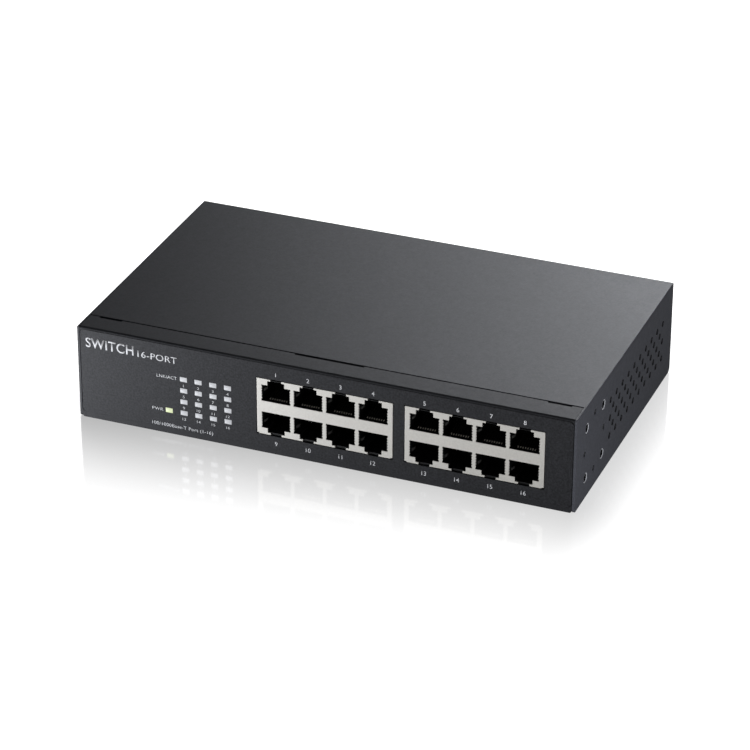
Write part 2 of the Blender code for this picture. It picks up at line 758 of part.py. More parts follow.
# ---------------------------------------------------------------- main board

def board(name, corners, screws):
    (left, front), (right, back) = corners
    made = place(name, box((left, front, BOARD_BOTTOM), (right, back, BOARD_TOP)), "circuit_board")
    holes = bmesh.new()
    for x, y in screws:
        add_prism(holes, circle(x, y, CLEAR_HOLE), BOARD_BOTTOM - PAST, BOARD_TOP + PAST, along_z)
    cut(made, holes)


def chip(name, centre, side):
    x, y = centre
    place(name, prism(rectangle(x, y, side, side), ON_BOARD, ON_BOARD + CHIP_THICK, along_z),
          "chip_plastic")


def heat_sink(name, centre, side, fins, height):
    """A finned block: one comb-shaped profile along Y."""
    x, y = centre
    base = ON_BOARD + CHIP_THICK + GAP
    pitch = (side - FIN_THICK) / (fins - 1)
    profile = [(x - side / 2, base), (x + side / 2, base)]
    for n in reversed(range(fins)):
        fin_left = x - side / 2 + n * pitch
        fin_right = fin_left + FIN_THICK
        profile += [(fin_right, base + height), (fin_left, base + height)]
        if n:
            gap_left = fin_left - pitch + FIN_THICK
            profile += [(fin_left, base + FIN_BASE), (gap_left, base + FIN_BASE)]
    place(name, prism(profile, y - side / 2, y + side / 2, along_y), "bare_aluminium")


def make_main_board():
    board("main_board", MAIN_BOARD, BOARD_SCREWS)
    width, depth, height = MAGNETICS_SIZE
    y = FRONT + BANK_DEPTH + MAGNETICS_BACK
    quarters = [start + BANK_WIDTH * share for start in BANK_STARTS.values() for share in (0.25, 0.75)]
    for number, x in enumerate(quarters, 1):
        block = prism(rectangle(x, y, width, depth), ON_BOARD, ON_BOARD + height, along_z)
        place(f"magnetics_{number}", block, "chip_plastic")
    chip("switch_chip", SWITCH_CHIP, SWITCH_CHIP_SIDE)
    heat_sink("switch_heat_sink", SWITCH_CHIP, **SWITCH_SINK)
    chip("phy_chip", PHY_CHIP, PHY_CHIP_SIDE)
    heat_sink("phy_heat_sink", PHY_CHIP, **PHY_SINK)
    x, y = CRYSTAL
    width, depth, height = CRYSTAL_SIZE
    can = rounded_rectangle(x - width / 2, y - depth / 2, x + width / 2, y + depth / 2, CRYSTAL_CORNER)
    place("clock_crystal", prism(can, ON_BOARD, ON_BOARD + height, along_z), "plated_steel")


# ---------------------------------------------------------------- mains supply

def make_transformer():
    """A wound bobbin in a two-part core: a low wide body with the winding proud on both sides."""
    x, y = TRANSFORMER
    width, depth, height = CORE_SIZE
    core = prism(rectangle(x, y, width, depth), ON_BOARD, ON_BOARD + height, along_z)
    body = place("mains_transformer", core, "transformer_tape")
    width, depth = WINDING_SIZE
    low, high = WINDING_SPAN
    winding = rounded_rectangle(x - width / 2, y - depth / 2, x + width / 2, y + depth / 2, WINDING_CORNER)
    join(body, prism(winding, ON_BOARD + low, ON_BOARD + high, along_z))


def make_capacitor(name, at, radius, height):
    profile = [(0, 0), (radius, 0), (radius, height - CAPACITOR_RIM), (radius - CAPACITOR_RIM, height),
               (0, height)]
    can = place(name, turned(profile, 16), "capacitor_sleeve")
    can.location = (*at, ON_BOARD)
    smooth(can)


def make_choke():
    bm = bmesh.new()
    rings = []
    for turn in range(CHOKE_TURNS):
        angle = 2 * math.pi * turn / CHOKE_TURNS
        section = circle(CHOKE_RING, 0, CHOKE_TUBE, CHOKE_SIDES)
        rings.append([bm.verts.new((v, u * math.cos(angle), u * math.sin(angle))) for u, v in section])
    for here, after in zip(rings, rings[1:] + rings[:1]):
        for n in range(CHOKE_SIDES):
            m = (n + 1) % CHOKE_SIDES
            bm.faces.new((here[n], here[m], after[m], after[n]))
    choke = place("common_mode_choke", bm, "ferrite")
    choke.location = (*CHOKE, ON_BOARD + CHOKE_RING + CHOKE_TUBE)
    smooth(choke)


def make_power_sink():
    """A bent plate: a tall wall with a foot, beside the transformer."""
    x, y = POWER_SINK
    foot = x + POWER_SINK_FOOT
    wall = x + POWER_SINK_THICK
    step = ON_BOARD + POWER_SINK_THICK
    top = ON_BOARD + POWER_SINK_HEIGHT
    profile = [(x, ON_BOARD), (foot, ON_BOARD), (foot, step), (wall, step), (wall, top), (x, top)]
    half = POWER_SINK_LENGTH / 2
    place("power_heat_sink", prism(profile, y - half, y + half, along_y), "bare_aluminium")


def make_fuse():
    x, y = FUSE
    half = FUSE_LENGTH / 2
    tube = prism(circle(x, ON_BOARD + FUSE_RADIUS, FUSE_RADIUS, 10), y - half, y + half, along_y)
    place("mains_fuse", tube, "fuse_ceramic")


def make_inlet():
    """A recessed three-pin inlet; its flange sits behind the rear wall."""
    back = INLET_FACE - INLET_DEPTH
    body_outline = rectangle(INLET_X, INLET_Z, INLET_WIDTH, INLET_HEIGHT)
    inlet = place("mains_inlet", prism(body_outline, back, INLET_FACE, along_y), "jack_plastic")
    width, height, thick = FLANGE
    flange_back = REAR_FACE - SHEET - GAP - thick
    flange = rectangle(INLET_X, INLET_Z, width, height)
    join(inlet, prism(flange, flange_back, flange_back + thick, along_y))
    u, v = SOCKET_WIDTH / 2, SOCKET_HEIGHT / 2
    socket = [(-u, -v), (u, -v), (u, v - SOCKET_CHAMFER), (u - SOCKET_CHAMFER, v),
              (SOCKET_CHAMFER - u, v), (-u, v - SOCKET_CHAMFER)]
    socket = [(INLET_X + x, INLET_Z + z) for x, z in socket]
    cut(inlet, prism(socket, INLET_FACE - SOCKET_DEPTH, INLET_FACE + PAST, along_y))
    slots = bmesh.new()
    for x, z in PINS.values():
        outline = rectangle(INLET_X + x, INLET_Z + z, PIN_WIDTH + 2 * GAP, PIN_HEIGHT + 2 * GAP)
        add_prism(slots, outline, back - PAST, INLET_FACE - SOCKET_DEPTH + PAST, along_y)
    cut(inlet, slots)
    for name, (x, z) in PINS.items():
        make_inlet_pin(name, INLET_X + x, INLET_Z + z, back)


def make_inlet_pin(name, x, z, back):
    """A flat blade with a tail that turns down to the board behind the inlet."""
    tip = INLET_FACE - SOCKET_DEPTH + PIN_LENGTH
    half = PIN_HEIGHT / 2
    tail_front = back - PIN_TAIL_GAP
    tail_back = tail_front - PIN_TAIL_THICK
    profile = [
        (tail_back, ON_BOARD),
        (tail_front, ON_BOARD),
        (tail_front, z - half),
        (tip - PIN_TAPER, z - half),
        (tip, z - half + PIN_TAPER),
        (tip, z + half - PIN_TAPER),
        (tip - PIN_TAPER, z + half),
        (tail_back, z + half),
    ]
    blade = prism(profile, x - PIN_WIDTH / 2, x + PIN_WIDTH / 2, along_x)
    place(f"inlet_pin_{name}", blade, "plated_steel")


def make_power_supply():
    board("power_board", POWER_BOARD, POWER_SCREWS)
    make_transformer()
    make_capacitor("bulk_capacitor", **BULK_CAPACITOR)
    make_capacitor("output_capacitor", **OUTPUT_CAPACITOR)
    make_choke()
    make_power_sink()
    make_fuse()
    make_inlet()
    wire("dc_cable", DC_CABLE, DC_CABLE_RADIUS, "wire_insulation")
    wire("earth_wire", EARTH_WIRE, EARTH_WIRE_RADIUS, "earth_insulation")


# ---------------------------------------------------------------- screws

def pan_screw(name, x, y, seat, tip):
    """A pan-head screw pointing down, with its head resting at the seat height."""
    profile = [(0, tip), (SHANK, tip), (SHANK, seat), (HEAD, seat), (HEAD, seat + 0.6 * HEAD_THICK),
               (0.7 * HEAD, seat + HEAD_THICK), (0, seat + HEAD_THICK)]
    screw = place(name, turned(profile), "plated_steel")
    screw.location = (x, y, 0)
    smooth(screw)


def make_screws():
    for n, (x, y) in enumerate(BOARD_SCREWS, 1):
        pan_screw(f"board_screw_{n}", x, y, ON_BOARD, BOARD_SCREW_TIP)
    for n, (x, y) in enumerate(POWER_SCREWS, 1):
        pan_screw(f"power_board_screw_{n}", x, y, ON_BOARD, BOARD_SCREW_TIP)
    pan_screw("earth_screw", *EARTH_SCREW, SHEET + GAP, EARTH_SCREW_TIP)
    for n, (x, z) in enumerate(COVER_SCREWS, 1):
        profile = [(0, -COVER_SCREW_LENGTH), (SHANK, -COVER_SCREW_LENGTH), (SHANK, -SHEET),
                   (HEAD - GAP, -GAP), (HEAD - GAP, 0), (0, 0)]
        screw = place(f"cover_screw_{n}", turned(profile), "plated_steel")
        screw.matrix_world = facing_rear(x, REAR, z)
        smooth(screw)


def main():
    make_chassis()
    make_cover()
    make_film()
    for bank in BANK_STARTS:
        make_shield(bank)
        make_housing(bank)
    make_contacts()
    make_indicators()
    make_main_board()
    make_power_supply()
    make_screws()


clear_scene()
MATERIALS = make_materials()
main()
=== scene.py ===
"""The looks of the 16-port desktop switch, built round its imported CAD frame.

Everything is in metres in the frame's own axes: the front faces -Y, +Z is up and the
origin is at the centre of the underside.
"""

import json
import math

import bmesh
import bpy
from mathutils import Matrix, Vector


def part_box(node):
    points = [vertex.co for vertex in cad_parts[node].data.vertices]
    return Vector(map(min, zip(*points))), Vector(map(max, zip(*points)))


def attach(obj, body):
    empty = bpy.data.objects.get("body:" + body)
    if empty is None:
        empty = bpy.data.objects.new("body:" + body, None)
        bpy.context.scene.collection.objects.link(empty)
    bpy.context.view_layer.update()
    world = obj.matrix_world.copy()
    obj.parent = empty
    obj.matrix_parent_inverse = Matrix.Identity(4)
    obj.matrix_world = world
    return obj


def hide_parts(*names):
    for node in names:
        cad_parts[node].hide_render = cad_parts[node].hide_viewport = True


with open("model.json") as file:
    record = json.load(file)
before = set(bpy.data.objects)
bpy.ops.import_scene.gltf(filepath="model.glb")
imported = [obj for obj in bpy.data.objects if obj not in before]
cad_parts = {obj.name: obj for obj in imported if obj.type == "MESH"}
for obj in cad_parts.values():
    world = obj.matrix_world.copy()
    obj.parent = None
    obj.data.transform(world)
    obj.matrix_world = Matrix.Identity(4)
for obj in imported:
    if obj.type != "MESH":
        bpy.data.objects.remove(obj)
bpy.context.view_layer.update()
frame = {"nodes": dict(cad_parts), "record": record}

MM = 0.001

# The case, from the frame
(LEFT, FRONT, _), (RIGHT, REAR, HEIGHT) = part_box("top_cover")
SHEET = 1.0 * MM  # thickness of the folded steel
FILM_LOW, FILM_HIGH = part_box("front_overlay")
CHASSIS_LOW, CHASSIS_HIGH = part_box("base_chassis")
REAR_FACE = CHASSIS_HIGH[1]  # outside of the rear wall
SEAM = 0.35 * MM
STRIP_SEAM = 0.75 * MM  # gap between the front strip and the cover
SIDE_SEAM = 0.12 * MM
SIDE_FLANGE = 6.5 * MM  # height of the tray's side flanges
STANDOFF_RADIUS = 3.0 * MM
FIT_GAP = 0.2 * MM  # round parts that sit in an opening
TOUCH = 0.01 * MM  # how near a point counts as on an edge
EDGE = 0.12 * MM  # rounding of the sheet's cut edges
FOLD = 0.45 * MM  # rounding of the sheet's folds
LOWER_FOLD = 0.3 * MM  # the same from the front plate to the floor
STRIP_FOLD = 0.85 * MM  # rounding of the fold from the front plate to the strip
PLATE = FRONT + 0.02 * MM  # front face of the chassis, flush with the film
STRIP_END = CHASSIS_LOW[1] + 10.0 * MM
STRIP_HALF = RIGHT - SHEET - SIDE_SEAM
RELIEF = 0.8 * MM  # depth of the strip's notches over the lugs
LUGS = [(LEFT + start * MM, LEFT + stop * MM)
        for start, stop in ((5.6, 15.6), (92.0, 122.0), (199.4, 209.4))]
LUG_REACH = 6.0 * MM
PLATE_THICK = CHASSIS_LOW[1] + SHEET - PLATE
FILM_BACK = FRONT + 0.42 * MM
FILM_CORNER = 2.0 * MM
FILM_GAP = 0.26 * MM  # round the film, in the pressing it lies in
PANEL_GAP = 0.32 * MM  # round the jack shields
REAR_LIP = 8.0 * MM
FRONT_CORNER = 1.5 * MM  # lower corners of the cover's side walls
REAR_CORNER = 2.2 * MM
PLATE_CORNER = 1.0 * MM

# Side walls: distances back from the front and down from the top
VENT_RADIUS = 1.42 * MM
VENTS_IN_ROW = 10
VENT_PITCH = 7.87 * MM
VENT_START = 43.5 * MM
VENT_ROWS = [(13.0 + 4.08 * n) * MM for n in range(5)]
BRACKET_CENTRE = (23.65 * MM, 21.5 * MM)
BRACKET_SPACING = (21.0 * MM, 22.4 * MM)
BRACKET_RADIUS = 1.85 * MM
BRACKET_RIM = 2.15 * MM
BRACKET_SINK = 0.08 * MM
DIMPLES = [(23.7 * MM, 8.25 * MM), (11.6 * MM, 21.2 * MM), (35.75 * MM, 21.2 * MM), (24.0 * MM, 34.0 * MM)]
PIT_RADIUS = 1.15 * MM
PIT_DEPTH = 0.9 * MM
DISH_RADIUS = 2.3 * MM
DISH_DEPTH = 0.5 * MM

# Ports
PORT_MOUTH = 12.3 * MM
PORT_HEIGHT = 7.2 * MM
PORT_DEPTH = 13.0 * MM
LATCH_WIDTH = 7.1 * MM
LATCH_HEIGHT = 2.0 * MM
NOTCH_WIDTH = 4.8 * MM
NOTCH_DEPTH = 3.5 * MM  # of the notch in the shield's top or underside
EDGE_BUMPS = 5  # spring fingers down each upright edge of a port
BUMP_DEPTH = 0.32 * MM
BUMP_REACH = 0.36  # half a bump's height, as a part of its pitch
MOUTH_GROWTH = 0.17 * MM  # by which the shield's openings clear the housing's
PIVOT_SUNK = 0.7 * MM  # of a wire's hinge below its port's floor
TIN = 0.3 * MM  # thickness of the shields
WIRE_PITCH = 1.02 * MM
WIRES = 8
RIB_HALF = 0.22 * MM  # the ribs between the wires, at the back of a port
RIB_START = 10.9 * MM
POCKET_HALF = 4.3 * MM  # the room for the wires in a port's floor
POCKET_START = 1.8 * MM
POCKET_STOP = 11.7 * MM
LEAF_RISE = 4.6 * MM  # from a port's floor to its earth leaves
LEAF_DROP = 0.9 * MM

# Indicator windows
WINDOW = (3.2 * MM, 2.2 * MM)
WINDOW_COLUMNS = [LEFT + (47.2 + 6.5 * n) * MM for n in range(4)]
WINDOW_ROWS = [HEIGHT - (15.75 + 5.17 * n) * MM for n in range(4)]
POWER_WINDOW = (LEFT + 40.5 * MM, WINDOW_ROWS[3])

CAPITAL = 0.72  # height of a capital in the built-in lettering at size 1
INK = 0.02 * MM  # thickness of the print

# Rear
LOCK_SLOT = (60 * MM, 20 * MM, 7 * MM, 3 * MM)  # centre, width and height
INLET_BODY = (27.0 * MM, 19.8 * MM)
INLET_FLANGE = (31.0 * MM, 24.0 * MM)
SOCKET_HALF = (12.2 * MM, 8.2 * MM)
SOCKET_CHAMFER = 4.0 * MM
SOCKET_DEPTH = 16.0 * MM
PIN_HEIGHT = 4.0 * MM
PINS = ("line", "neutral", "earth")
SCREW_HOLE = 1.6 * MM  # radii of the screws' holes and shanks
EARTH_HOLE = 1.5 * MM
SHANK = 1.2 * MM
BANKS = ("left", "right")


# ---------- mesh helpers

def in_scene(thing):
    """Link an object to the scene."""
    bpy.context.scene.collection.objects.link(thing)
    return thing


def make_mesh(name, bm, material=None, smooth_angle=35):
    bmesh.ops.recalc_face_normals(bm, faces=bm.faces)
    mesh = bpy.data.meshes.new(name)
    bm.to_mesh(mesh)
    bm.free()
    if smooth_angle:
        mesh.shade_smooth()
        mesh.set_sharp_from_angle(angle=math.radians(smooth_angle))
    if material:
        mesh.materials.append(MATERIALS[material])
    return mesh


def finish_object(name, bm, material=None, smooth_angle=35):
    """A mesh object in the scene, in one of the MATERIALS."""
    return in_scene(bpy.data.objects.new(name, make_mesh(name, bm, material, smooth_angle)))


def bake_modifiers(thing):
    """Replace an object's mesh by its evaluated mesh and drop its modifiers."""
    graph = bpy.context.evaluated_depsgraph_get()
    mesh = bpy.data.meshes.new_from_object(thing.evaluated_get(graph))
    thing.modifiers.clear()
    thing.data = mesh


def boolean(thing, bm, operation="DIFFERENCE", material=None):
    """Cut or join a body; the faces it leaves take the given material."""
    tool = finish_object("tool", bm, material, smooth_angle=None)
    step = thing.modifiers.new(operation, "BOOLEAN")
    step.material_mode = "TRANSFER" if material else "INDEX"
    step.operation = operation
    step.solver = "EXACT"
    step.object = tool
    bake_modifiers(thing)
    bpy.data.objects.remove(tool, do_unlink=True)


def resmooth(thing, angle=35):
    """Smooth shading that keeps large faces flat and lets only the rounded edges bend the light."""
    thing.data.shade_smooth()
    thing.data.set_sharp_from_angle(angle=math.radians(angle))
    weigh = thing.modifiers.new("normals", "WEIGHTED_NORMAL")
    weigh.keep_sharp = True
    weigh.weight = 100
    bake_modifiers(thing)


def bridge(bm, low, high):
    """Faces between two matching rings of points."""
    for n in range(len(low)):
        m = (n + 1) % len(low)
        bm.faces.new((low[n], low[m], high[m], high[n]))


def close_rings(bm, rings):
    """A closed body through matching rings of points."""
    bm.faces.new(rings[0])
    bm.faces.new(rings[-1])
    for low, high in zip(rings, rings[1:]):
        bridge(bm, low, high)


def add_stack(bm, outlines, lift):
    """A closed body through matching outlines, each given with its distance along the axis."""
    close_rings(bm, [[bm.verts.new(lift(u, v, d)) for u, v in outline] for d, outline in outlines])


def add_prism(bm, outline, start, stop, lift):
    add_stack(bm, [(start, outline), (stop, outline)], lift)


def prism(outline, start, stop, lift):
    bm = bmesh.new()
    add_prism(bm, outline, start, stop, lift)
    return bm


def along_x(u, v, distance):
    return distance, u, v


def along_y(u, v, distance):
    return u, distance, v


def along_z(u, v, distance):
    return u, v, distance


def add_box(bm, low, high):
    outline = [(low[0], low[1]), (high[0], low[1]), (high[0], high[1]), (low[0], high[1])]
    add_prism(bm, outline, low[2], high[2], along_z)


def circle(u, v, radius, sides=24):
    turn = 2 * math.pi / sides
    return [(u + radius * math.cos(turn * n), v + radius * math.sin(turn * n)) for n in range(sides)]


def rounded(left, low, right, high, radius, steps=6):
    corners = ((right - radius, low + radius, -90), (right - radius, high - radius, 0),
               (left + radius, high - radius, 90), (left + radius, low + radius, 180))
    outline = []
    for u, v, first in corners:
        for n in range(steps + 1):
            angle = math.radians(first + 90 * n / steps)
            outline.append((u + radius * math.cos(angle), v + radius * math.sin(angle)))
    return outline


def rounded_about(u, v, width, height, radius, steps=6):
    return rounded(u - width / 2, v - height / 2, u + width / 2, v + height / 2, radius, steps)


def round_edges(thing, width, segments=2, angle=50, near=None):
    """Round every edge sharper than the angle, or only those with both ends where near() says."""
    bm = bmesh.new()
    bm.from_mesh(thing.data)
    bmesh.ops.dissolve_limit(bm, angle_limit=math.radians(0.5), verts=bm.verts, edges=bm.edges)
    sharp = [e for e in bm.edges if len(e.link_faces) == 2 and e.calc_face_angle(0) > math.radians(angle)]
    if near:
        sharp = [e for e in sharp if all(near(v.co) for v in e.verts)]
    bmesh.ops.bevel(bm, geom=sharp, offset=width, segments=segments, profile=0.5, affect="EDGES",
                    clamp_overlap=True)
    bm.to_mesh(thing.data)
    bm.free()


def turned(profile, sides=32):
    """A body turned about Z from the axis at the bottom to the axis on top."""
    bm = bmesh.new()
    rings = []
    for radius, z in profile:
        if radius == 0:
            rings.append([bm.verts.new((0, 0, z))])
        else:
            rings.append([bm.verts.new((x, y, z)) for x, y in circle(0, 0, radius, sides)])
    for low, high in zip(rings, rings[1:]):
        for n in range(sides):
            m = (n + 1) % sides
            around = [low[n % len(low)], low[m % len(low)], high[m % len(high)], high[n % len(high)]]
            bm.faces.new(list(dict.fromkeys(around)))
    return bm


def merge(bm, other, matrix=None):
    """Move a second bmesh into the first."""
    if matrix:
        bmesh.ops.transform(other, matrix=matrix, verts=other.verts)
    mesh = bpy.data.meshes.new("merge")
    other.to_mesh(mesh)
    other.free()
    bm.from_mesh(mesh)
    bpy.data.meshes.remove(mesh)


def facing(direction, place):
    """A frame at a place whose +Z points along a direction."""
    turn = Vector(direction).to_track_quat("Z", "Y").to_matrix().to_4x4()
    return Matrix.Translation(place) @ turn


def settle(thing, slot, *nodes, body="case"):
    """Ride a piece on its body and let it stand for the nodes it replaces; the slot is not used."""
    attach(thing, body)
    if nodes:
        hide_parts(*nodes)


# ---------- materials

class Nodes:
    """A material's node tree with short calls for the nodes that these materials share."""

    def __init__(self, name):
        self.material = bpy.data.materials.new(name)
        self.material.use_nodes = True
        self.tree = self.material.node_tree
        self.shader = self.tree.nodes["Principled BSDF"]
        self.where = self.add("TexCoord").outputs["Object"]

    def add(self, kind, values=(), **settings):
        node = self.tree.nodes.new("ShaderNode" + kind)
        for key, value in settings.items():
            setattr(node, key, value)
        for key, value in dict(values).items():
            node.inputs[key].default_value = value
        return node

    def link(self, source, target):
        self.tree.links.new(source, target)

    def set(self, **values):
        for key, value in values.items():
            socket = self.shader.inputs[key.replace("_", " ")]
            socket.default_value = (*value, 1.0) if isinstance(value, tuple) else value

    def noise(self, scale, detail=3.0, roughness=0.55, stretch=None):
        node = self.add("TexNoise", {"Scale": scale, "Detail": detail, "Roughness": roughness})
        where = self.where
        if stretch:
            mapping = self.add("Mapping", {"Scale": stretch})
            self.link(self.where, mapping.inputs["Vector"])
            where = mapping.outputs["Vector"]
        self.link(where, node.inputs["Vector"])
        return node.outputs["Fac"]

    def ramp(self, source, low, high, start=0.3, stop=0.7):
        node = self.add("ValToRGB")
        for stop_at, place, colour in zip(node.color_ramp.elements, (start, stop), (low, high)):
            stop_at.position = place
            stop_at.color = (*colour, 1.0)
        self.link(source, node.inputs["Fac"])
        return node.outputs["Color"]

    def place(self, axis):
        node = self.add("SeparateXYZ")
        self.link(self.where, node.inputs["Vector"])
        return node.outputs[axis]

    def span(self, source, low, high, start=0.0, stop=1.0, **settings):
        """Map the source from start..stop to low..high."""
        values = {"From Min": start, "From Max": stop, "To Min": low, "To Max": high}
        node = self.add("MapRange", values, **settings)
        self.link(source, node.inputs["Value"])
        return node.outputs["Result"]

    def bump(self, height, strength, distance, under=None):
        node = self.add("Bump", {"Strength": strength, "Distance": distance})
        self.link(height, node.inputs["Height"])
        if under:
            self.link(under, node.inputs["Normal"])
        return node.outputs["Normal"]

    def use(self, colour=None, roughness=None, normal=None):
        for source, name in ((colour, "Base Color"), (roughness, "Roughness"), (normal, "Normal")):
            if source:
                self.link(source, self.shader.inputs[name])
        return self.material


def shade(colour, factor):
    return tuple(min(1.0, c * factor) for c in colour)


def powder_coat(name, colour, gloss=0.5, specular=0.4, contrast=0.3):
    """Baked powder paint: a fine pebbled skin with a slightly mottled colour."""
    m = Nodes(name)
    m.set(Specular_IOR_Level=specular)
    tone = m.ramp(m.noise(1300, 4), shade(colour, 1 - contrast), shade(colour, 1 + contrast))
    rough = m.span(m.noise(420), gloss - 0.05, gloss + 0.08)
    peel = m.bump(m.noise(1900, 2, 0.5), 0.32, 0.05 * MM)
    grain = m.bump(m.noise(5200, 1, 0.4), 0.16, 0.02 * MM, under=peel)
    return m.use(tone, rough, grain)


def plastic(name, colour, gloss=0.4, grain=2600, specular=0.5):
    """Moulded plastic with a faint spark-eroded texture."""
    m = Nodes(name)
    m.set(Specular_IOR_Level=specular)
    tone = m.ramp(m.noise(300), shade(colour, 0.85), shade(colour, 1.15))
    rough = m.span(m.noise(grain / 4), gloss - 0.06, gloss + 0.08)
    return m.use(tone, rough, m.bump(m.noise(grain, 2), 0.12, 0.02 * MM))


def metal(name, colour, gloss=0.3, metallic=1.0, stretch=(1, 1, 1), scratch=0.12):
    """Rolled or plated metal with fine drawn lines."""
    m = Nodes(name)
    m.set(Metallic=metallic)
    lines = m.noise(1400, 4, 0.6, stretch)
    tone = m.ramp(m.noise(260, 4), shade(colour, 0.9), shade(colour, 1.06))
    rough = m.span(lines, gloss - 0.08, gloss + 0.12)
    return m.use(tone, rough, m.bump(lines, scratch, 0.01 * MM))


def circuit_board(name):
    """Green solder resist with copper tracks under it and drilled, tinned pads."""
    m = Nodes(name)
    m.set(Specular_IOR_Level=0.5)
    tracks = m.add("TexBrick", {
        "Scale": 210, "Mortar Size": 0.035, "Color1": (0.008, 0.085, 0.035, 1),
        "Color2": (0.010, 0.105, 0.042, 1), "Mortar": (0.030, 0.190, 0.070, 1)})
    m.link(m.where, tracks.inputs["Vector"])
    rough = m.span(m.noise(500), 0.25, 0.42)
    return m.use(tracks.outputs["Color"], rough, m.bump(tracks.outputs["Fac"], 0.2, 0.04 * MM))


def window_plastic(name, colour, glow=0.0):
    """Milky light-guide plastic; the lit one glows."""
    m = Nodes(name)
    m.set(Specular_IOR_Level=0.5)
    tone = m.ramp(m.noise(700), shade(colour, 0.93), shade(colour, 1.05))
    if glow:
        m.link(tone, m.shader.inputs["Emission Color"])
        m.shader.inputs["Emission Strength"].default_value = glow
    return m.use(tone, m.span(m.noise(1500), 0.28, 0.42), m.bump(m.noise(2400), 0.08, 0.02 * MM))


def tinned(name, colour, gloss=0.42, metallic=0.45):
    """Bright tin plate, softened by its plating crystals."""
    m = Nodes(name)
    m.set(Metallic=metallic)
    tone = m.ramp(m.noise(1300, 4, 0.65), shade(colour, 0.93), shade(colour, 1.04))
    rough = m.span(m.noise(600, 4), gloss - 0.06, gloss + 0.1)
    return m.use(tone, rough, m.bump(m.noise(2200), 0.1, 0.015 * MM))


def spring_wire(name, gilt_and_glint, wire_shade):
    """Contact wire, gilded and painted near white as a highlight over its front bend, and near black along
    its length as painted shade.
    """
    m = Nodes(name)
    m.set(Metallic=0.15)
    tone = m.ramp(m.span(m.place("Y"), 0.0, 1.0, 0.4 * MM, 0.6 * MM), gilt_and_glint, wire_shade, 0.0, 1.0)
    scratches = m.noise(1400, 4, 0.6, (1, 0.1, 1))
    return m.use(tone, m.span(scratches, 0.3, 0.5), m.bump(scratches, 0.12, 0.01 * MM))


def printed_ink(name, colour):
    """Screen-printed ink: flat colour with a slightly uneven, satin skin."""
    m = Nodes(name)
    tone = m.ramp(m.noise(1500), shade(colour, 0.9), shade(colour, 1.04))
    return m.use(tone, m.span(m.noise(900), 0.4, 0.55), m.bump(m.noise(3000), 0.1, 0.01 * MM))


def striped_sleeve(name, first, second):
    """Wire insulation in two colours, striped along the wire."""
    m = Nodes(name)
    wave = m.add("TexWave", {"Scale": 160}, wave_type="BANDS", bands_direction="X")
    m.link(m.where, wave.inputs["Vector"])
    tone = m.ramp(wave.outputs["Fac"], first, second, 0.45, 0.55)
    return m.use(tone, m.span(m.noise(800), 0.35, 0.5), m.bump(m.noise(2500), 0.1, 0.02 * MM))


MATERIALS = {
    "powder_coat": powder_coat("case_powder_coat", (0.0205, 0.0214, 0.0255), 0.45, 0.35),
    "plate_coat": powder_coat("chassis_powder_coat", (0.0184, 0.0192, 0.0230), 0.51, 0.35),
    "printed_film": powder_coat("overlay_film", (0.0184, 0.0192, 0.0230), 0.51, 0.35, 0.6),
    "tinned_steel": tinned("jack_tin", (0.80, 0.78, 0.73)),
    "jack_plastic": plastic("jack_black", (0.006, 0.006, 0.0065), 0.38, specular=0.4),
    # The contact wires: pale front bend as painted highlight, near black length as painted shade.
    "gold_contact": spring_wire("contact_gold", (0.95, 0.90, 0.80), (0.020, 0.019, 0.016)),
    "clear_window": window_plastic("window_milky", (0.78, 0.79, 0.82)),
    "lit_window": window_plastic("window_lit", (0.70, 0.77, 0.47), glow=0.37),
    "circuit_board": circuit_board("board_green"),
    "chip_plastic": plastic("chip_black", (0.02, 0.02, 0.022), 0.5, 4000),
    "bare_aluminium": metal("sink_aluminium", (0.78, 0.79, 0.80), 0.35, stretch=(1, 0.05, 1)),
    "transformer_tape": plastic("tape_yellow", (0.72, 0.52, 0.08), 0.45),
    "capacitor_sleeve": plastic("sleeve_dark", (0.02, 0.03, 0.07), 0.3),
    "ferrite": plastic("ferrite_green", (0.03, 0.09, 0.05), 0.55),
    "wire_insulation": plastic("wire_red", (0.45, 0.02, 0.015), 0.4),
    "earth_insulation": striped_sleeve("wire_earth", (0.10, 0.35, 0.03), (0.75, 0.65, 0.04)),
    "plated_steel": metal("steel_plated", (0.66, 0.66, 0.67), 0.28),
    "bare_edge": tinned("edge_bare", (0.62, 0.63, 0.66), 0.4, 0.15),
    # Dark tin for the earth springs: painted shade inside the ports.
    "dull_tin": tinned("tin_dull", (0.13, 0.13, 0.125), 0.5, 0.3),
    "fuse_ceramic": plastic("fuse_white", (0.78, 0.76, 0.70), 0.35),
    "ink": printed_ink("panel_ink", (0.80, 0.81, 0.84)),
}


def dress_frame():
    """Give every CAD node that stays visible the finish of its slot."""
    slots = {s["node"]: s["material_slot"] for s in frame["record"]["subparts"]}
    for name, node in frame["nodes"].items():
        node.data.materials.clear()
        node.data.materials.append(MATERIALS[slots[name]])


# ---------- case

def vent_centres():
    """Places of one side's vents, as distances back from the front and down from the top."""
    return [(VENT_START + (n + row % 2 / 2) * VENT_PITCH, drop)
            for row, drop in enumerate(VENT_ROWS) for n in range(VENTS_IN_ROW - row % 2)]


def bracket_holes():
    (back, drop), (along, up) = BRACKET_CENTRE, BRACKET_SPACING
    return [(back + i * along / 2, drop + j * up / 2) for i in (-1, 1) for j in (-1, 1)]


def add_on_sides(bm, places, make, *sizes):
    """Put a body that make() builds at each place on both side walls, facing outwards."""
    for side, wall in ((-1, LEFT), (1, RIGHT)):
        for back, drop in places:
            merge(bm, make(*sizes), facing((side, 0, 0), (wall, FRONT + back, HEIGHT - drop)))


def flared_cutter(radius, flare, depth):
    return turned([(0, -depth), (radius, -depth), (radius, -flare), (radius + flare, 0),
                   (radius + 3 * flare, 2 * flare), (0, 2 * flare)], 20)


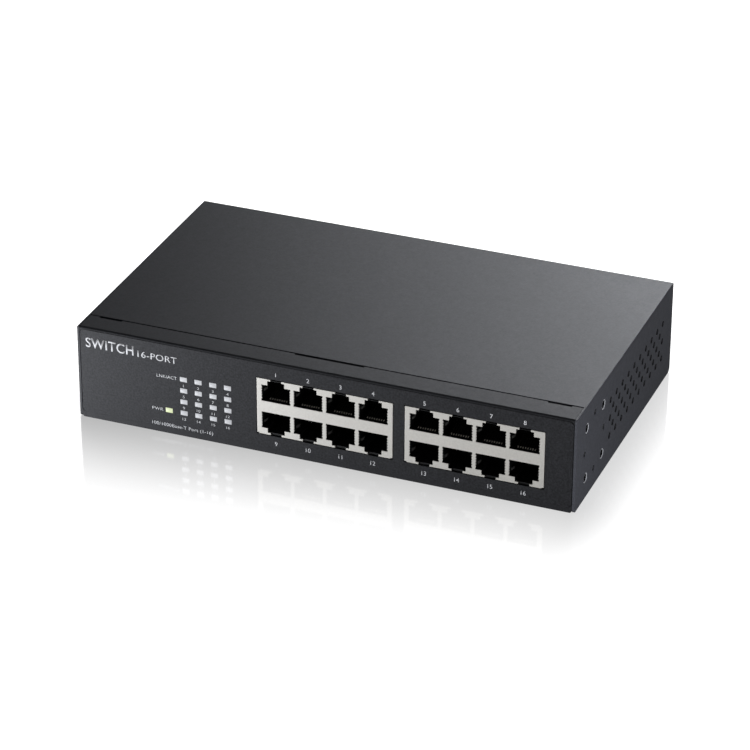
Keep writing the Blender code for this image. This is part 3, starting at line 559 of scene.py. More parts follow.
def make_cover():
    inside = RIGHT - SHEET
    under = HEIGHT - SHEET
    outline = [(LEFT, 0), (LEFT, HEIGHT), (RIGHT, HEIGHT), (RIGHT, 0), (inside, 0), (inside, under),
               (-inside, under), (-inside, 0)]
    shell = prism(outline, FRONT, REAR, along_y)
    cover = finish_object("cover_shell", shell, "powder_coat")
    boolean(cover, rear_lips(), "UNION")
    round_edges(cover, FOLD, 4, near=on_cover_corner)
    notch = bmesh.new()
    add_box(notch, (-inside, FRONT - SHEET, HEIGHT - 3 * SHEET),
            (inside, STRIP_END + STRIP_SEAM, HEIGHT + SHEET))
    boolean(cover, notch)
    boolean(cover, corner_cutters())
    round_edges(cover, EDGE)
    vents = bmesh.new()
    add_on_sides(vents, vent_centres(), flared_cutter, VENT_RADIUS, 0.06 * MM, 2 * SHEET)
    pit = [(0, -PIT_DEPTH), (PIT_RADIUS, -PIT_DEPTH), (1.2 * PIT_RADIUS, SHEET), (0, SHEET)]
    add_on_sides(vents, DIMPLES, turned, pit, 24)
    # The cut walls of the vents and pits take black plastic as painted shade in the holes.
    boolean(cover, vents, material="jack_plastic")
    holes = bmesh.new()
    add_on_sides(holes, bracket_holes(), flared_cutter, BRACKET_RIM, 0.1 * MM, 2 * SHEET)
    add_on_sides(holes, DIMPLES, dish_cutter)
    for n in range(1, 5):
        x, _, z = middle_of(f"cover_screw_{n}")
        sink = turned([(0, -3 * SHEET), (1.7 * MM, -3 * SHEET), (1.7 * MM, -SHEET), (3.0 * MM, -0.2 * MM),
                       (3.0 * MM, SHEET), (0, SHEET)])
        merge(holes, sink, facing((0, 1, 0), (x, REAR, z)))
    boolean(cover, holes)
    boolean(cover, cover_lugs(), "UNION")
    resmooth(cover)
    settle(cover, "powder_coat", "top_cover")
    return cover


def on_cover_corner(place):
    """Whether a point is one of the cover's four upper corners, where its long folds end."""
    return abs(abs(place.x) - RIGHT) < TOUCH and abs(place.z - HEIGHT) < TOUCH


def middle_of(node):
    """The middle of a node's box."""
    low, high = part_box(node)
    return [(a + b) / 2 for a, b in zip(low, high)]


def dish_cutter():
    """The soft dish round a punch mark."""
    steps = 8
    profile = [(0, -DISH_DEPTH)]
    for n in range(1, steps + 1):
        t = n / steps
        profile.append((DISH_RADIUS * t, TOUCH - DISH_DEPTH * (1 + math.cos(math.pi * t)) / 2))
    profile += [(DISH_RADIUS + 0.3 * MM, 0.3 * MM), (0, 0.3 * MM)]
    return turned(profile, 28)


def corner_outline(u, v, inward_u, inward_v, radius):
    """What a rounded corner at (u, v) leaves over, for a body that lies the inward way."""
    outline = [(u - inward_u * SHEET, v - inward_v * SHEET), (u + inward_u * radius, v - inward_v * SHEET)]
    for n in range(9):
        angle = math.radians(90 * n / 8)
        outline.append((u + inward_u * radius * (1 - math.sin(angle)),
                        v + inward_v * radius * (1 - math.cos(angle))))
    outline.append((u - inward_u * SHEET, v + inward_v * radius))
    return outline


def corner_cutters():
    """What rounds off the lower corners of both side walls."""
    cutters = bmesh.new()
    for y_edge, inward, radius in ((FRONT, 1, FRONT_CORNER), (REAR, -1, REAR_CORNER)):
        outline = corner_outline(y_edge, 0, inward, 1, radius)
        for low, high in ((LEFT - SHEET, LEFT + 2 * SHEET), (RIGHT - 2 * SHEET, RIGHT + SHEET)):
            add_prism(cutters, outline, low, high, along_x)
    return cutters


def rear_lips():
    """The frame of narrow flanges that the cover turns down over the rear wall."""
    half = RIGHT - SHEET / 2
    top = HEIGHT - SHEET / 2
    inner, eaves = half - REAR_LIP, top - REAR_LIP
    outline = [(-half, REAR_CORNER), (-inner, REAR_CORNER), (-inner, eaves), (inner, eaves),
               (inner, REAR_CORNER), (half, REAR_CORNER), (half, top), (-half, top)]
    return prism(outline, REAR - SHEET, REAR, along_y)


def cover_lugs():
    lugs = bmesh.new()
    seam = STRIP_END + STRIP_SEAM
    tip, step, heel = seam - LUG_REACH, seam + SHEET / 4, seam + 2 * SHEET
    low, high = HEIGHT - SHEET - SEAM, HEIGHT - SHEET / 2
    profile = [(tip, low), (tip, low - SHEET), (heel, low - SHEET), (heel, high), (step, high), (step, low)]
    for start, stop in LUGS:
        add_prism(lugs, profile, start + SEAM, stop - SEAM, along_x)
    return lugs


def make_bracket_bushes():
    """The threaded bushes of the bracket holes: bores in black as painted shade, each with a bare metal
    rim.
    """
    # The bushes' black plastic is painted shade in the bores.
    for name, make, finish, slot in (("bracket_bushes", thread_bush, "jack_plastic", "powder_coat"),
                                     ("bracket_rims", bare_rim, "bare_edge", "plated_steel")):
        rings = bmesh.new()
        add_on_sides(rings, bracket_holes(), make)
        piece = finish_object(name, rings, finish)
        settle(piece, slot)
    return piece


def lathe_ring(profile, sides=32):
    """A ring turned about Z from a closed profile."""
    bm = bmesh.new()
    rings = [[bm.verts.new((x, y, z)) for x, y in circle(0, 0, radius, sides)] for radius, z in profile]
    for low, high in zip(rings, rings[1:] + rings[:1]):
        bridge(bm, low, high)
    return bm


def bare_rim():
    outer = BRACKET_RIM - 0.03 * MM
    seat = -BRACKET_SINK
    return lathe_ring([(outer, seat - 0.3 * MM), (outer, seat - 0.06 * MM), (outer - 0.06 * MM, seat),
                       (outer - 0.2 * MM, seat), (outer - 0.27 * MM, seat - 0.08 * MM),
                       (outer - 0.27 * MM, seat - 0.2 * MM)])


def thread_bush():
    """A bush behind the rim: a bore with four thread crests."""
    outer = BRACKET_RIM - 0.05 * MM
    bore = BRACKET_RADIUS - 0.15 * MM
    depth = -BRACKET_SINK - 0.32 * MM
    profile = [(outer, depth - 1.2 * MM), (outer, depth), (BRACKET_RADIUS, depth)]
    for _ in range(4):
        profile += [(BRACKET_RADIUS - 0.02 * MM, depth - 0.08 * MM), (bore, depth - 0.3 * MM)]
        depth -= 0.45 * MM
    profile += [(BRACKET_RADIUS - 0.02 * MM, depth), (outer - 0.1 * MM, depth)]
    return lathe_ring(profile)


def make_chassis():
    rear_top = HEIGHT - SHEET - SEAM
    front, rear = PLATE + PLATE_THICK, REAR_FACE - SHEET
    outer = [(STRIP_END, HEIGHT), (PLATE, HEIGHT), (PLATE, 0), (REAR_FACE, 0), (REAR_FACE, rear_top),
             (rear, rear_top), (rear, SHEET), (front, SHEET), (front, HEIGHT - SHEET),
             (STRIP_END, HEIGHT - SHEET)]
    shell = prism(outer, -STRIP_HALF, STRIP_HALF, along_x)
    chassis = finish_object("chassis_shell", shell, "plate_coat")
    notches = bmesh.new()
    for start, stop in LUGS:
        add_box(notches, (start, STRIP_END - RELIEF, HEIGHT - 2 * SHEET),
                (stop, STRIP_END + SHEET, HEIGHT + SHEET))
    for side in (-1, 1):
        outline = corner_outline(side * STRIP_HALF, 0, -side, 1, PLATE_CORNER)
        add_prism(notches, outline, FRONT - SHEET, PLATE + 2 * SHEET, along_y)
    boolean(chassis, notches)
    round_edges(chassis, STRIP_FOLD, 6, near=on_plate_fold(HEIGHT))
    round_edges(chassis, LOWER_FOLD, 4, near=on_plate_fold(0))
    round_edges(chassis, EDGE)
    boolean(chassis, film_recess())
    sides = bmesh.new()
    for side in (-1, 1):
        low, high = sorted((side * STRIP_HALF, side * (STRIP_HALF - SHEET)))
        add_box(sides, (low, PLATE + 2 * SHEET, SHEET / 2), (high, REAR_FACE - 2 * SHEET, SIDE_FLANGE))
    for node in standoff_nodes():
        x, y, _ = middle_of(node)
        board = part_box("main_board")[0][2]
        add_prism(sides, circle(x, y, STANDOFF_RADIUS), SHEET / 2, board, along_z)
    boolean(chassis, sides, "UNION")
    boolean(chassis, panel_openings(FRONT - SHEET, PLATE + 2 * SHEET, 0.1 * MM))
    boolean(chassis, rear_openings())
    resmooth(chassis)
    settle(chassis, "powder_coat", "base_chassis")


def on_plate_fold(height):
    """A test for points on a fold of the front plate."""
    return lambda place: abs(place.y - PLATE) < TOUCH and abs(place.z - height) < TOUCH


def film_recess():
    """The shallow pressing that the film lies in, with a narrow gap beside and above it."""
    outline = rounded(FILM_LOW[0] - FILM_GAP, FILM_LOW[2], FILM_HIGH[0] + FILM_GAP, FILM_HIGH[2] + FILM_GAP,
                      FILM_CORNER, 10)
    return prism(outline, FRONT - SHEET, FILM_BACK, along_y)


def standoff_nodes():
    return [f"board_screw_{n}" for n in range(1, 5)] + [f"power_board_screw_{n}" for n in (1, 2)]


def panel_openings(front, back, grow):
    """Cutter for what passes through the front: both jack banks and all the windows."""
    cutters = bmesh.new()
    for bank in BANKS:
        (x0, _, z0), (x1, _, z1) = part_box(f"jack_shield_{bank}")
        outline = rounded(x0 - PANEL_GAP, z0 - PANEL_GAP, x1 + PANEL_GAP, z1 + PANEL_GAP, 0.35 * MM, 3)
        add_prism(cutters, outline, front, back, along_y)
    for x, z in window_centres():
        outline = rounded_about(x, z, WINDOW[0] + grow, WINDOW[1] + grow, 0.2 * MM, 3)
        add_prism(cutters, outline, front, back, along_y)
    return cutters


def window_centres():
    return [(x, z) for z in WINDOW_ROWS for x in WINDOW_COLUMNS] + [POWER_WINDOW]


def rear_openings():
    """Holes of the rear wall and the floor: inlet, lock slot, cover screws and earth screw."""
    cutters = bmesh.new()
    (x0, _, z0), (x1, _, z1) = inlet_face()
    outlines = [rounded(x0 - FIT_GAP, z0 - FIT_GAP, x1 + FIT_GAP, z1 + FIT_GAP, 1.2 * MM),
                rounded_about(*LOCK_SLOT, 1.0 * MM)]
    for n in range(1, 5):
        x, _, z = middle_of(f"cover_screw_{n}")
        outlines.append(circle(x, z, SCREW_HOLE))
    for outline in outlines:
        add_prism(cutters, outline, REAR_FACE - 2 * SHEET, REAR, along_y)
    x, y, _ = middle_of("earth_screw")
    add_prism(cutters, circle(x, y, EARTH_HOLE), -SHEET, 2 * SHEET, along_z)
    return cutters


def inlet_face():
    """The corners of the inlet's body as it shows in the rear wall, about its node's middle."""
    low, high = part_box("mains_inlet")
    x, _, z = middle_of("mains_inlet")
    width, height = INLET_BODY
    return (x - width / 2, low[1], z - height / 2), (x + width / 2, high[1], z + height / 2)


def make_film():
    outline = rounded(FILM_LOW[0], FILM_LOW[2], FILM_HIGH[0], FILM_HIGH[2], FILM_CORNER, 10)
    sheet = prism(outline, FRONT, FILM_BACK + 0.02 * MM, along_y)
    film = finish_object("overlay_sheet", sheet, "printed_film")
    round_edges(film, 0.08 * MM)
    boolean(film, panel_openings(FRONT - SHEET, FRONT + SHEET, 0))
    resmooth(film)
    settle(film, "printed_film", "front_overlay")


# ---------- indicators and print

def make_windows():
    for name, finish, centres in (("link_windows", "clear_window", window_centres()[:-1]),
                                  ("power_window", "lit_window", [POWER_WINDOW])):
        tiles = bmesh.new()
        for x, z in centres:
            add_tile(tiles, x, z)
        piece = finish_object(name, tiles, finish)
        settle(piece, finish)


def add_tile(bm, x, z):
    """One window: a slab with rounded corners and a softly rounded rim, just under the film's face."""
    width, height = WINDOW[0] - 0.04 * MM, WINDOW[1] - 0.04 * MM
    rim = 0.12 * MM
    face = FRONT + 0.03 * MM
    layers = ((1.2 * MM, 0, 0.2 * MM), (rim, 0, 0.2 * MM), (rim / 3, rim / 2, 0.18 * MM),
              (0, 2 * rim, 0.15 * MM))
    add_stack(bm, [(face + back, rounded_about(x, z, width - cut, height - cut, corner, 4))
                   for back, cut, corner in layers], along_y)


def lettering(words, height, width=None, weight=0.0, stretch=1.12):
    """Plain lettering as a flat mesh in XY with capitals of the given height, centred on the origin."""
    curve = bpy.data.curves.new("lettering", "FONT")
    curve.body = words
    curve.extrude = 0.0
    curve.offset = weight
    curve.resolution_u = 6
    curve.space_character = 1.06
    holder = in_scene(bpy.data.objects.new("lettering", curve))
    bpy.context.view_layer.update()
    mesh = bpy.data.meshes.new_from_object(holder.evaluated_get(bpy.context.evaluated_depsgraph_get()))
    bpy.data.objects.remove(holder, do_unlink=True)
    bm = bmesh.new()
    bm.from_mesh(mesh)
    bpy.data.meshes.remove(mesh)
    xs = [v.co.x for v in bm.verts]
    middle = (min(xs) + max(xs)) / 2
    scale = height / CAPITAL
    across = scale * stretch if width is None else width / (max(xs) - min(xs))
    for v in bm.verts:
        v.co = Vector(((v.co.x - middle) * across, (v.co.y - CAPITAL / 2) * scale, 0))
    return bm


def print_words(bm, words, x, z, height, **style):
    """Put lettering on the panel, centred on x and z."""
    letters = lettering(words, height, **style)
    stand = Matrix.Translation((x, FRONT - 0.012 * MM, z)) @ Matrix.Rotation(math.radians(90), 4, "X")
    merge(bm, letters, stand)


# Words on the panel: left end and middle from the case's left and top, height, width and weight, in mm
LABELS = [
    ("SWITCH", 3.75, 6.65, 4.5, 21.5, 0.012),
    ("16-PORT", 27.0, 7.6, 2.95, 17.5, 0.006),
    ("LNK/ACT", 35.3, 15.75, 1.45, 9.0, 0.008),
    ("PWR", 33.0, 31.26, 1.45, 4.9, 0.008),
    ("100/1000Base-T Port (1-16)", 32.75, 38.05, 1.55, 27.2, 0.008),
]


def make_print():
    sheet = bmesh.new()
    below = 2.72 * MM
    upper, lower = HEIGHT - 5.3 * MM, HEIGHT - 37.1 * MM
    for n, (x, z) in enumerate(window_centres()[:-1]):
        print_words(sheet, str(n + 1), x, z - below, 1.25 * MM, weight=0.006, stretch=1.15)
    for words, left, down, height, width, weight in LABELS:
        print_words(sheet, words, LEFT + (left + width / 2) * MM, HEIGHT - down * MM, height * MM,
                    width=width * MM, weight=weight)
    for number, (x, _, up) in PORTS.items():
        z = upper if up > 0 else lower
        print_words(sheet, str(number), x, z, 1.95 * MM, weight=0.008, stretch=0.95)
    extruded = bmesh.ops.extrude_face_region(sheet, geom=list(sheet.faces))
    moved = [g for g in extruded["geom"] if isinstance(g, bmesh.types.BMVert)]
    bmesh.ops.translate(sheet, vec=(0, INK, 0), verts=moved)
    piece = finish_object("panel_print", sheet, "ink", smooth_angle=None)
    settle(piece, "printed_film")


# ---------- jacks

def port_places():
    """Each port's number with its centre, its floor's height and the direction of its latch."""
    ports = {}
    for joint in frame["record"]["behaviour"]["joints"]:
        number = int(joint["name"].split("_")[1])
        x, _, z = joint["pos_m"]
        up = 1 if joint["axis"][0] < 0 else -1
        ports[number] = (x, z + up * PIVOT_SUNK, up)
    return ports


def mouth(x, floor, up, notch_height, bumps=0.0, grow=0.0):
    """The outline of a port: plug opening, latch step and notch, with bumps down its upright edges."""
    half_width = PORT_MOUTH / 2 + grow
    latch = LATCH_WIDTH / 2 + grow
    rise = PORT_HEIGHT + LATCH_HEIGHT
    side = [(half_width, -grow)]
    if bumps:
        pitch = PORT_HEIGHT / (EDGE_BUMPS + 1)
        for n in range(1, EDGE_BUMPS + 1):
            for step in range(-3, 4):
                depth = bumps * math.cos(step / 3 * math.pi / 2)
                side.append((half_width - depth, (n + step / 3 * BUMP_REACH) * pitch))
    side += [(half_width, PORT_HEIGHT), (latch, PORT_HEIGHT), (latch, rise)]
    if notch_height:
        side += [(NOTCH_WIDTH / 2, rise), (NOTCH_WIDTH / 2, rise + notch_height)]
    right = [(x + u, floor + up * v) for u, v in side]
    left = [(x - u, floor + up * v) for u, v in side]
    return right + left[::-1]


def bank_ports(bank):
    first = 1 if bank == "left" else 5
    return [PORTS[n + row] for n in range(first, first + 4) for row in (0, 8)]


def make_shield(bank):
    (x0, y0, z0), (x1, y1, z1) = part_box(f"jack_shield_{bank}")
    block = prism(rounded(x0, z0, x1, z1, 0.3 * MM, 3), y0, y1, along_y)
    shield = finish_object(f"shield_{bank}", block, "tinned_steel")
    hollow = bmesh.new()
    add_box(hollow, (x0 + TIN, y0 + TIN, z0 + TIN), (x1 - TIN, y1 - TIN, z1 - TIN))
    boolean(shield, hollow)
    round_edges(shield, 0.12 * MM)
    mouths = bmesh.new()
    notches = bmesh.new()
    rise = PORT_HEIGHT + LATCH_HEIGHT
    for x, floor, up in bank_ports(bank):
        edge = z1 if up > 0 else z0
        notch = abs(edge - floor) - rise + 2 * TIN
        outline = mouth(x, floor, up, notch, BUMP_DEPTH, MOUTH_GROWTH)
        add_prism(mouths, outline, y0 - SHEET, y0 + 3 * TIN, along_y)
        low_z, high_z = sorted((edge - up * 2 * TIN, edge + up * TIN))
        add_box(notches, (x - NOTCH_WIDTH / 2, y0 - SHEET, low_z),
                (x + NOTCH_WIDTH / 2, y0 + NOTCH_DEPTH, high_z))
    for corner in (x0, x1):
        add_box(mouths, (corner - 0.9 * MM, y0 - SHEET, z0 - SHEET),
                (corner + 0.9 * MM, y0 + 2 * SHEET, z0 + 0.45 * MM))
    boolean(shield, mouths)
    boolean(shield, notches)
    resmooth(shield)
    settle(shield, "tinned_steel", f"jack_shield_{bank}")
    springs = bmesh.new()
    for x, floor, up in bank_ports(bank):
        z = floor + up * LEAF_RISE - LEAF_DROP
        for side in (-1, 1):
            add_ground_spring(springs, x + side * PORT_MOUTH / 2, side, y0, z)
    # The springs are darkened as painted shade inside the ports.
    leaves = finish_object(f"ground_springs_{bank}", springs, "dull_tin")
    settle(leaves, "tinned_steel")


def add_ground_spring(bm, wall, side, front, z):
    """A leaf that curves from a port's wall into the port and back."""
    steps = 10
    length = 4.0 * MM
    reach = 0.5 * MM
    thick = 0.15 * MM
    half = 0.55 * MM
    path = []
    for n in range(steps + 1):
        t = n / steps
        path.append((front + TIN + 2.2 * MM + length * t, reach * math.sin(math.pi * t) ** 1.3))
    near = [(y, wall - side * (d + thick)) for y, d in path]
    far = [(y, wall - side * d) for y, d in path[::-1]]
    outline = [(x, y) for y, x in near + far]
    add_prism(bm, outline, z - half, z + half, along_z)


def make_housing(bank):
    low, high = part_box(f"jack_housing_{bank}")
    block = bmesh.new()
    add_box(block, low, high)
    housing = finish_object(f"housing_{bank}", block, "jack_plastic")
    cavities = bmesh.new()
    pockets = bmesh.new()
    ribs = bmesh.new()
    for x, floor, up in bank_ports(bank):
        ceiling = high[2] - 0.25 * MM
        outline = mouth(x, floor, up, 0)
        if up > 0:
            outline = [(u, min(v, ceiling)) for u, v in outline]
        add_prism(cavities, outline, FRONT - SHEET, FRONT + PORT_DEPTH, along_y)
        sunk, above = sorted((floor - up * 1.5 * MM, floor + up * 1.5 * MM))
        add_box(pockets, (x - POCKET_HALF, FRONT + POCKET_START, sunk),
                (x + POCKET_HALF, FRONT + POCKET_STOP, above))
        for n in range(WIRES + 1):
            rib = x + (n - WIRES / 2) * WIRE_PITCH
            low_z, high_z = sorted((floor - up * 1.4 * MM, floor + up * 2.6 * MM))
            add_box(ribs, (rib - RIB_HALF, FRONT + RIB_START, low_z),
                    (rib + RIB_HALF, FRONT + PORT_DEPTH + 0.2 * MM, high_z))
    boolean(housing, cavities)
    boolean(housing, pockets)
    boolean(housing, ribs, "UNION")
    resmooth(housing)
    settle(housing, "jack_plastic", f"jack_housing_{bank}")


def contact_path():
    """A spring wire's side view from its root in the pocket, over the bend and up to its tip."""
    rise = math.radians(17.4)
    length = 8.4 * MM
    points = [(-0.35 * MM, -0.5 * MM), (-0.42 * MM, -0.15 * MM), (-0.3 * MM, 0.28 * MM),
              (0.05 * MM, 0.5 * MM)]
    steps = 8
    for n in range(1, steps + 1):
        t = n / steps
        along = length * t
        lift = 0.45 * MM * (1 - t)
        droop = 0.5 * MM * max(0.0, t - 0.8) * 5 * t
        points.append((along * math.cos(rise), along * math.sin(rise) + lift - droop))
    return [Vector(p) for p in points]


def make_contact_mesh():
    """Eight gold wires with the hinge at the origin, rising towards +Y."""
    bm = bmesh.new()
    path = contact_path()
    width, thick = 0.46 * MM, 0.26 * MM
    for wire in range(WIRES):
        x = (wire - (WIRES - 1) / 2) * WIRE_PITCH
        rings = []
        for n, point in enumerate(path):
            before = path[max(0, n - 1)]
            after = path[min(len(path) - 1, n + 1)]
            along = (after - before).normalized()
            across = Vector((-along.y, along.x))
            ring = []
            for u, v in rounded_about(0, 0, width, thick, 0.1 * MM, 2):
                place = point + across * v
                ring.append(bm.verts.new((x + u, place.x, place.y)))
            rings.append(ring)
        close_rings(bm, rings)
    return make_mesh("contact_wires", bm, "gold_contact", 50)


def make_contacts():
    mesh = make_contact_mesh()
    for joint in frame["record"]["behaviour"]["joints"]:
        number = int(joint["name"].split("_")[1])
        _, _, up = PORTS[number]
        wires = in_scene(bpy.data.objects.new(f"contact_wires_{number:02d}", mesh))
        turn = Matrix.Identity(4) if up > 0 else Matrix.Rotation(math.pi, 4, "Y")
        wires.matrix_world = Matrix.Translation(joint["pos_m"]) @ turn
        settle(wires, "gold_contact", f"port_{number:02d}_contacts", body=joint["child"])


# ---------- rear

def make_inlet():
    low, high = inlet_face()
    x, _, z = middle_of("mains_inlet")
    block = prism(rounded(low[0], low[2], high[0], high[2], 1.0 * MM), low[1], high[1], along_y)
    inlet = finish_object("inlet_body", block, "jack_plastic")
    wall = REAR_FACE - SHEET - SEAM
    flange = prism(rounded_about(x, z, *INLET_FLANGE, 1.5 * MM), wall - 2 * MM, wall, along_y)
    boolean(inlet, flange, "UNION")
    round_edges(inlet, 0.3 * MM, 3)
    socket = bmesh.new()
    half_width, half_height = SOCKET_HALF
    top, corner = half_height - SOCKET_CHAMFER, half_width - SOCKET_CHAMFER
    outline = [(-half_width, -half_height), (half_width, -half_height), (half_width, top),
               (corner, half_height), (-corner, half_height), (-half_width, top)]
    outline = soften([(x + u, z + v) for u, v in outline], 0.9 * MM)
    flared = [(x + (u - x) * 1.035, z + (v - z) * 1.05) for u, v in outline]
    add_stack(socket, [(high[1] - SOCKET_DEPTH, outline), (high[1] - 0.4 * MM, outline),
                       (high[1] + 0.02 * MM, flared), (high[1] + SHEET, flared)], along_y)
    boolean(inlet, socket)
    slots = bmesh.new()
    for name in PINS:
        (a, _, _), (b, _, top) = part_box(f"inlet_pin_{name}")
        add_box(slots, (a - FIT_GAP, low[1] - SHEET, top - PIN_HEIGHT - FIT_GAP),
                (b + FIT_GAP, high[1] - SOCKET_DEPTH + SHEET, top + FIT_GAP))
    boolean(inlet, slots)
    resmooth(inlet)
    settle(inlet, "jack_plastic", "mains_inlet")


def soften(outline, radius, steps=4):
    """Round the corners of an outline with short arcs."""
    result = []
    points = [Vector(p) for p in outline]
    for n, here in enumerate(points):
        before, after = points[n - 1], points[(n + 1) % len(points)]
        start = here + (before - here).normalized() * radius
        stop = here + (after - here).normalized() * radius
        for step in range(steps + 1):
            t = step / steps
            result.append(tuple(start * (1 - t) ** 2 + here * 2 * t * (1 - t) + stop * t ** 2))
    return result


def make_pins():
    """Nickel-plated blades with rounded noses, turned down to the board behind."""
    for name in PINS:
        (x0, y0, z0), (x1, y1, z1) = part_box(f"inlet_pin_{name}")
        leg, nose = 2.0 * MM, 1.0 * MM
        under = z1 - PIN_HEIGHT
        outline = [(y0, z0), (y0 + leg, z0), (y0 + leg, under), (y1 - nose, under),
                   (y1, under + nose), (y1, z1 - nose), (y1 - nose, z1), (y0, z1)]
        blade = prism(outline, x0, x1, along_x)
        pin = finish_object(f"pin_{name}", blade, "plated_steel")
        round_edges(pin, 0.3 * MM, 3, 30)
        resmooth(pin, 50)
        settle(pin, "plated_steel", f"inlet_pin_{name}")


def cross(arm, half):
    """The outline of a cross, given its arms' length and half their width."""
    return [(half, -arm), (half, -half), (arm, -half), (arm, half), (half, half), (half, arm),
            (-half, arm), (-half, half), (-arm, half), (-arm, -half), (-half, -half), (-half, -arm)]


def cross_recess(depth):
    """Cutter for a cross-head recess with tapering wings."""
    cutter = bmesh.new()
    low, top = cross(0.75 * MM, 0.2 * MM), cross(1.45 * MM, 0.32 * MM)
    add_stack(cutter, [(-depth, low), (0.2 * MM, top)], along_z)
    return cutter


def make_screw(name, profile, matrix, node):
    screw = finish_object(name, turned(profile, 40), "plated_steel")
    boolean(screw, cross_recess(1.1 * MM))
    resmooth(screw, 40)
    screw.matrix_world = matrix
    settle(screw, "plated_steel", node)


def make_screws():
    for n in range(1, 5):
        x, _, z = middle_of(f"cover_screw_{n}")
        profile = [(0, -5 * MM), (1.0 * MM, -4.8 * MM), (SHANK, -4.5 * MM), (SHANK, -SHEET),
                   (2.6 * MM, -0.25 * MM), (2.65 * MM, -0.1 * MM), (2.4 * MM, 0), (0, 0.05 * MM)]
        make_screw(f"rear_screw_{n}", profile, facing((0, 1, 0), (x, REAR, z)), f"cover_screw_{n}")
    for node in [*standoff_nodes(), "earth_screw"]:
        low, (_, _, top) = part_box(node)
        x, y, _ = middle_of(node)
        seat = -1.6 * MM
        profile = [(0, low[2] - top), (SHANK, low[2] - top), (SHANK, seat), (2.7 * MM, seat),
                   (2.8 * MM, seat + 0.3 * MM), (2.7 * MM, -0.7 * MM), (2.2 * MM, -0.2 * MM),
                   (1.5 * MM, 0), (0, 0.02 * MM)]
        make_screw(f"pan_{node}", profile, facing((0, 0, 1), (x, y, top)), node)


# ---------- studio

def make_floor():
    half = 12.0
    bm = bmesh.new()
    corners = ((-half, -half, 0), (half, -half, 0), (half, half, 0), (-half, half, 0))
    bm.faces.new([bm.verts.new(place) for place in corners])
    m = Nodes("floor_gloss")
    m.set(IOR=2.2, Roughness=0.07, Emission_Color=(1, 1, 1))
    tone = m.ramp(m.noise(2.0, 2), (0.34, 0.34, 0.345), (0.36, 0.36, 0.365))
    # The floor's glow is dimmed round the case as painted shadow.
    m.link(glow_round_case(m), m.shader.inputs["Emission Strength"])
    floor = finish_object("floor", bm, smooth_angle=None)
    floor.data.materials.append(m.use(tone))
    floor.location.z = -0.02 * MM
    floor.visible_glossy = False
    return floor


def glow_round_case(m):
    """Painted shadow in the light table's glow: dim under and round the case, full a hand's width off,
    stronger to the right.
    """
    distance = m.where
    shift, narrow, hand = (2 * MM, -9 * MM, 0), (2.2, 1, 1), 72 * MM
    for operation, second in (("ADD", shift), ("ABSOLUTE", None), ("SUBTRACT", (RIGHT, REAR, 1.0)),
                              ("MAXIMUM", (0, 0, 0)), ("MULTIPLY", narrow), ("LENGTH", None)):
        node = m.add("VectorMath", {1: second} if second else (), operation=operation)
        m.link(distance, node.inputs[0])
        distance = node.outputs["Value" if operation == "LENGTH" else "Vector"]
    total = m.add("Math", operation="ADD")
    reach = m.span(distance, 0.44, 0.95, 0.0, hand, interpolation_type="SMOOTHSTEP")
    m.link(reach, total.inputs[0])
    m.link(m.span(m.place("X"), 0.0, 0.2, LEFT, RIGHT), total.inputs[1])
    return total.outputs["Value"]


def make_light(name, place, target, size, power, colour=(0.93, 0.95, 1.0)):
    lamp = bpy.data.lights.new(name, "AREA")
    lamp.shape = "RECTANGLE"
    lamp.size, lamp.size_y = size
    lamp.energy = power
    lamp.color = colour
    holder = in_scene(bpy.data.objects.new(name, lamp))
    aim = Vector(target) - Vector(place)
    holder.rotation_euler = aim.to_track_quat("-Z", "Y").to_euler()
    holder.location = place
    return holder


def make_world():
    """A pale backdrop all round that gives the object only a little light."""
    world = bpy.data.worlds.new("studio")
    world.use_nodes = True
    tree = world.node_tree
    fill = tree.nodes["Background"]
    fill.inputs["Color"].default_value = (1, 1, 1, 1)
    fill.inputs["Strength"].default_value = 0.10
    backdrop = tree.nodes.new("ShaderNodeBackground")
    path = tree.nodes.new("ShaderNodeLightPath")
    mix = tree.nodes.new("ShaderNodeMixShader")
    tree.links.new(path.outputs["Is Camera Ray"], mix.inputs["Fac"])
    tree.links.new(fill.outputs["Background"], mix.inputs[1])
    tree.links.new(backdrop.outputs["Background"], mix.inputs[2])
    tree.links.new(mix.outputs["Shader"], tree.nodes["World Output"].inputs["Surface"])
    bpy.context.scene.world = world


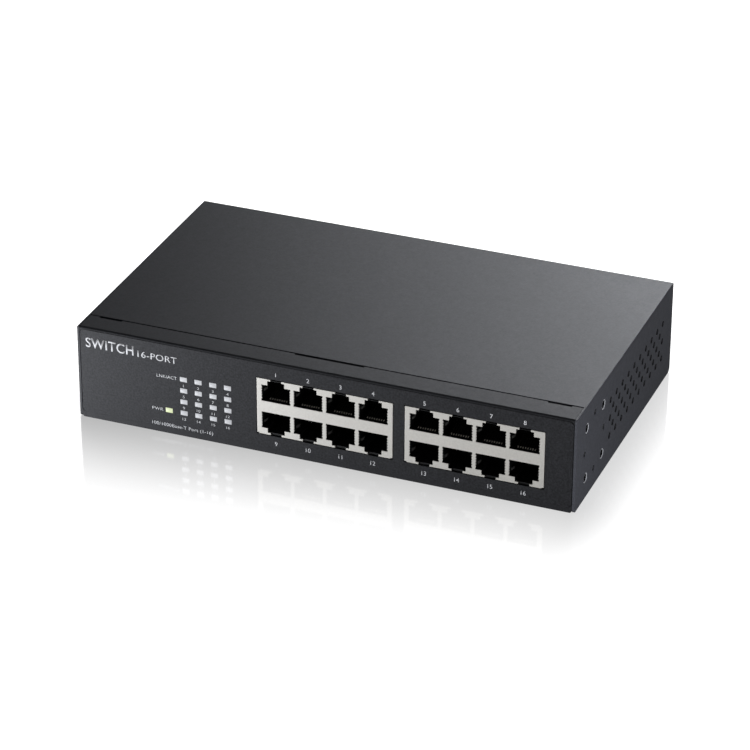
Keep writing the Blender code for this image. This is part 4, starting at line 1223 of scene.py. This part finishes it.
def make_lights(floor, cover, rims):
    """Soft lights from behind, from the table's glow in front and from the right."""
    rear = (0.05, 0.0, 0.04)
    keys = [
        make_light("rear_left", (-0.15, 0.75, 0.38), (0, 0, 0.03), (0.4, 0.4), 0.9),
        make_light("rear_low", (0.12, 0.55, 0.16), (0.05, 0.03, 0.04), (0.4, 0.15), 1.1),
        make_light("rear_middle", (0.05, 0.75, 0.40), rear, (0.4, 0.3), 0.7),
        make_light("rear_high", (-0.05, 0.75, 0.65), rear, (0.4, 0.3), 1.15),
        make_light("front_left", (-0.42, -0.45, -0.28), (-0.08, -0.06, 0.02), (0.3, 0.2), 1.12),
        make_light("left_close", (-0.23, -0.15, -0.05), (-0.09, -0.06, 0.02), (0.12, 0.05), 0.2),
    ]
    all_but_floor = linked_group("all_but_floor", floor, "EXCLUDE")
    for key in keys:
        key.light_linking.receiver_collection = all_but_floor
        key.light_linking.blocker_collection = all_but_floor
    side = make_light("right", (0.30, -0.27, 0.04), (0.11, -0.02, 0.02), (0.08, 0.08), 1.9)
    side.light_linking.receiver_collection = linked_group("only_cover", cover, "INCLUDE")
    glint = make_light("rim_glint", (0.42, -0.5, 0.35), (0.11, -0.03, 0.02), (0.3, 0.3), 2.2)
    glint.light_linking.receiver_collection = linked_group("only_rims", rims, "INCLUDE")
    card = make_light("floor_card", (-1.0, 2.45, 1.43), (0, 0, 0), (2.2, 2.2), 39, (1, 1, 1))
    card.light_linking.receiver_collection = linked_group("only_floor", floor, "INCLUDE")


def linked_group(name, thing, state):
    """A collection that lets a light reach only one thing, or all but that one."""
    group = bpy.data.collections.new(name)
    group.objects.link(thing)
    group.collection_objects[0].light_linking.link_state = state
    return group


def make_camera():
    """A long lens from above and to the right of the front."""
    target = Vector((7.18 * MM, -22.92 * MM, 21.42 * MM))
    distance = 1386.1 * MM
    azimuth, elevation, roll = [math.radians(angle) for angle in (21.233, 28.379, 0.272)]
    flat = math.cos(elevation)
    offset = Vector((math.sin(azimuth) * flat, -math.cos(azimuth) * flat, math.sin(elevation)))
    lens = bpy.data.cameras.new("camera")
    lens.lens = 162.23
    lens.sensor_width = 36.0
    lens.clip_start = 0.01
    camera = in_scene(bpy.data.objects.new("camera", lens))
    turn = (-offset).to_track_quat("-Z", "Y").to_matrix().to_4x4()
    tilt = Matrix.Rotation(roll, 4, "Z")
    camera.matrix_world = Matrix.Translation(target + offset * distance) @ turn @ tilt
    bpy.context.scene.camera = camera


bpy.context.scene.view_settings.view_transform = "Standard"
PORTS = port_places()
make_camera()
dress_frame()
top_cover = make_cover()
bracket_rims = make_bracket_bushes()
make_chassis()
make_film()
make_windows()
make_print()
for bank_name in BANKS:
    make_shield(bank_name)
    make_housing(bank_name)
make_contacts()
make_inlet()
make_pins()
make_screws()
make_world()
make_lights(make_floor(), top_cover, bracket_rims)
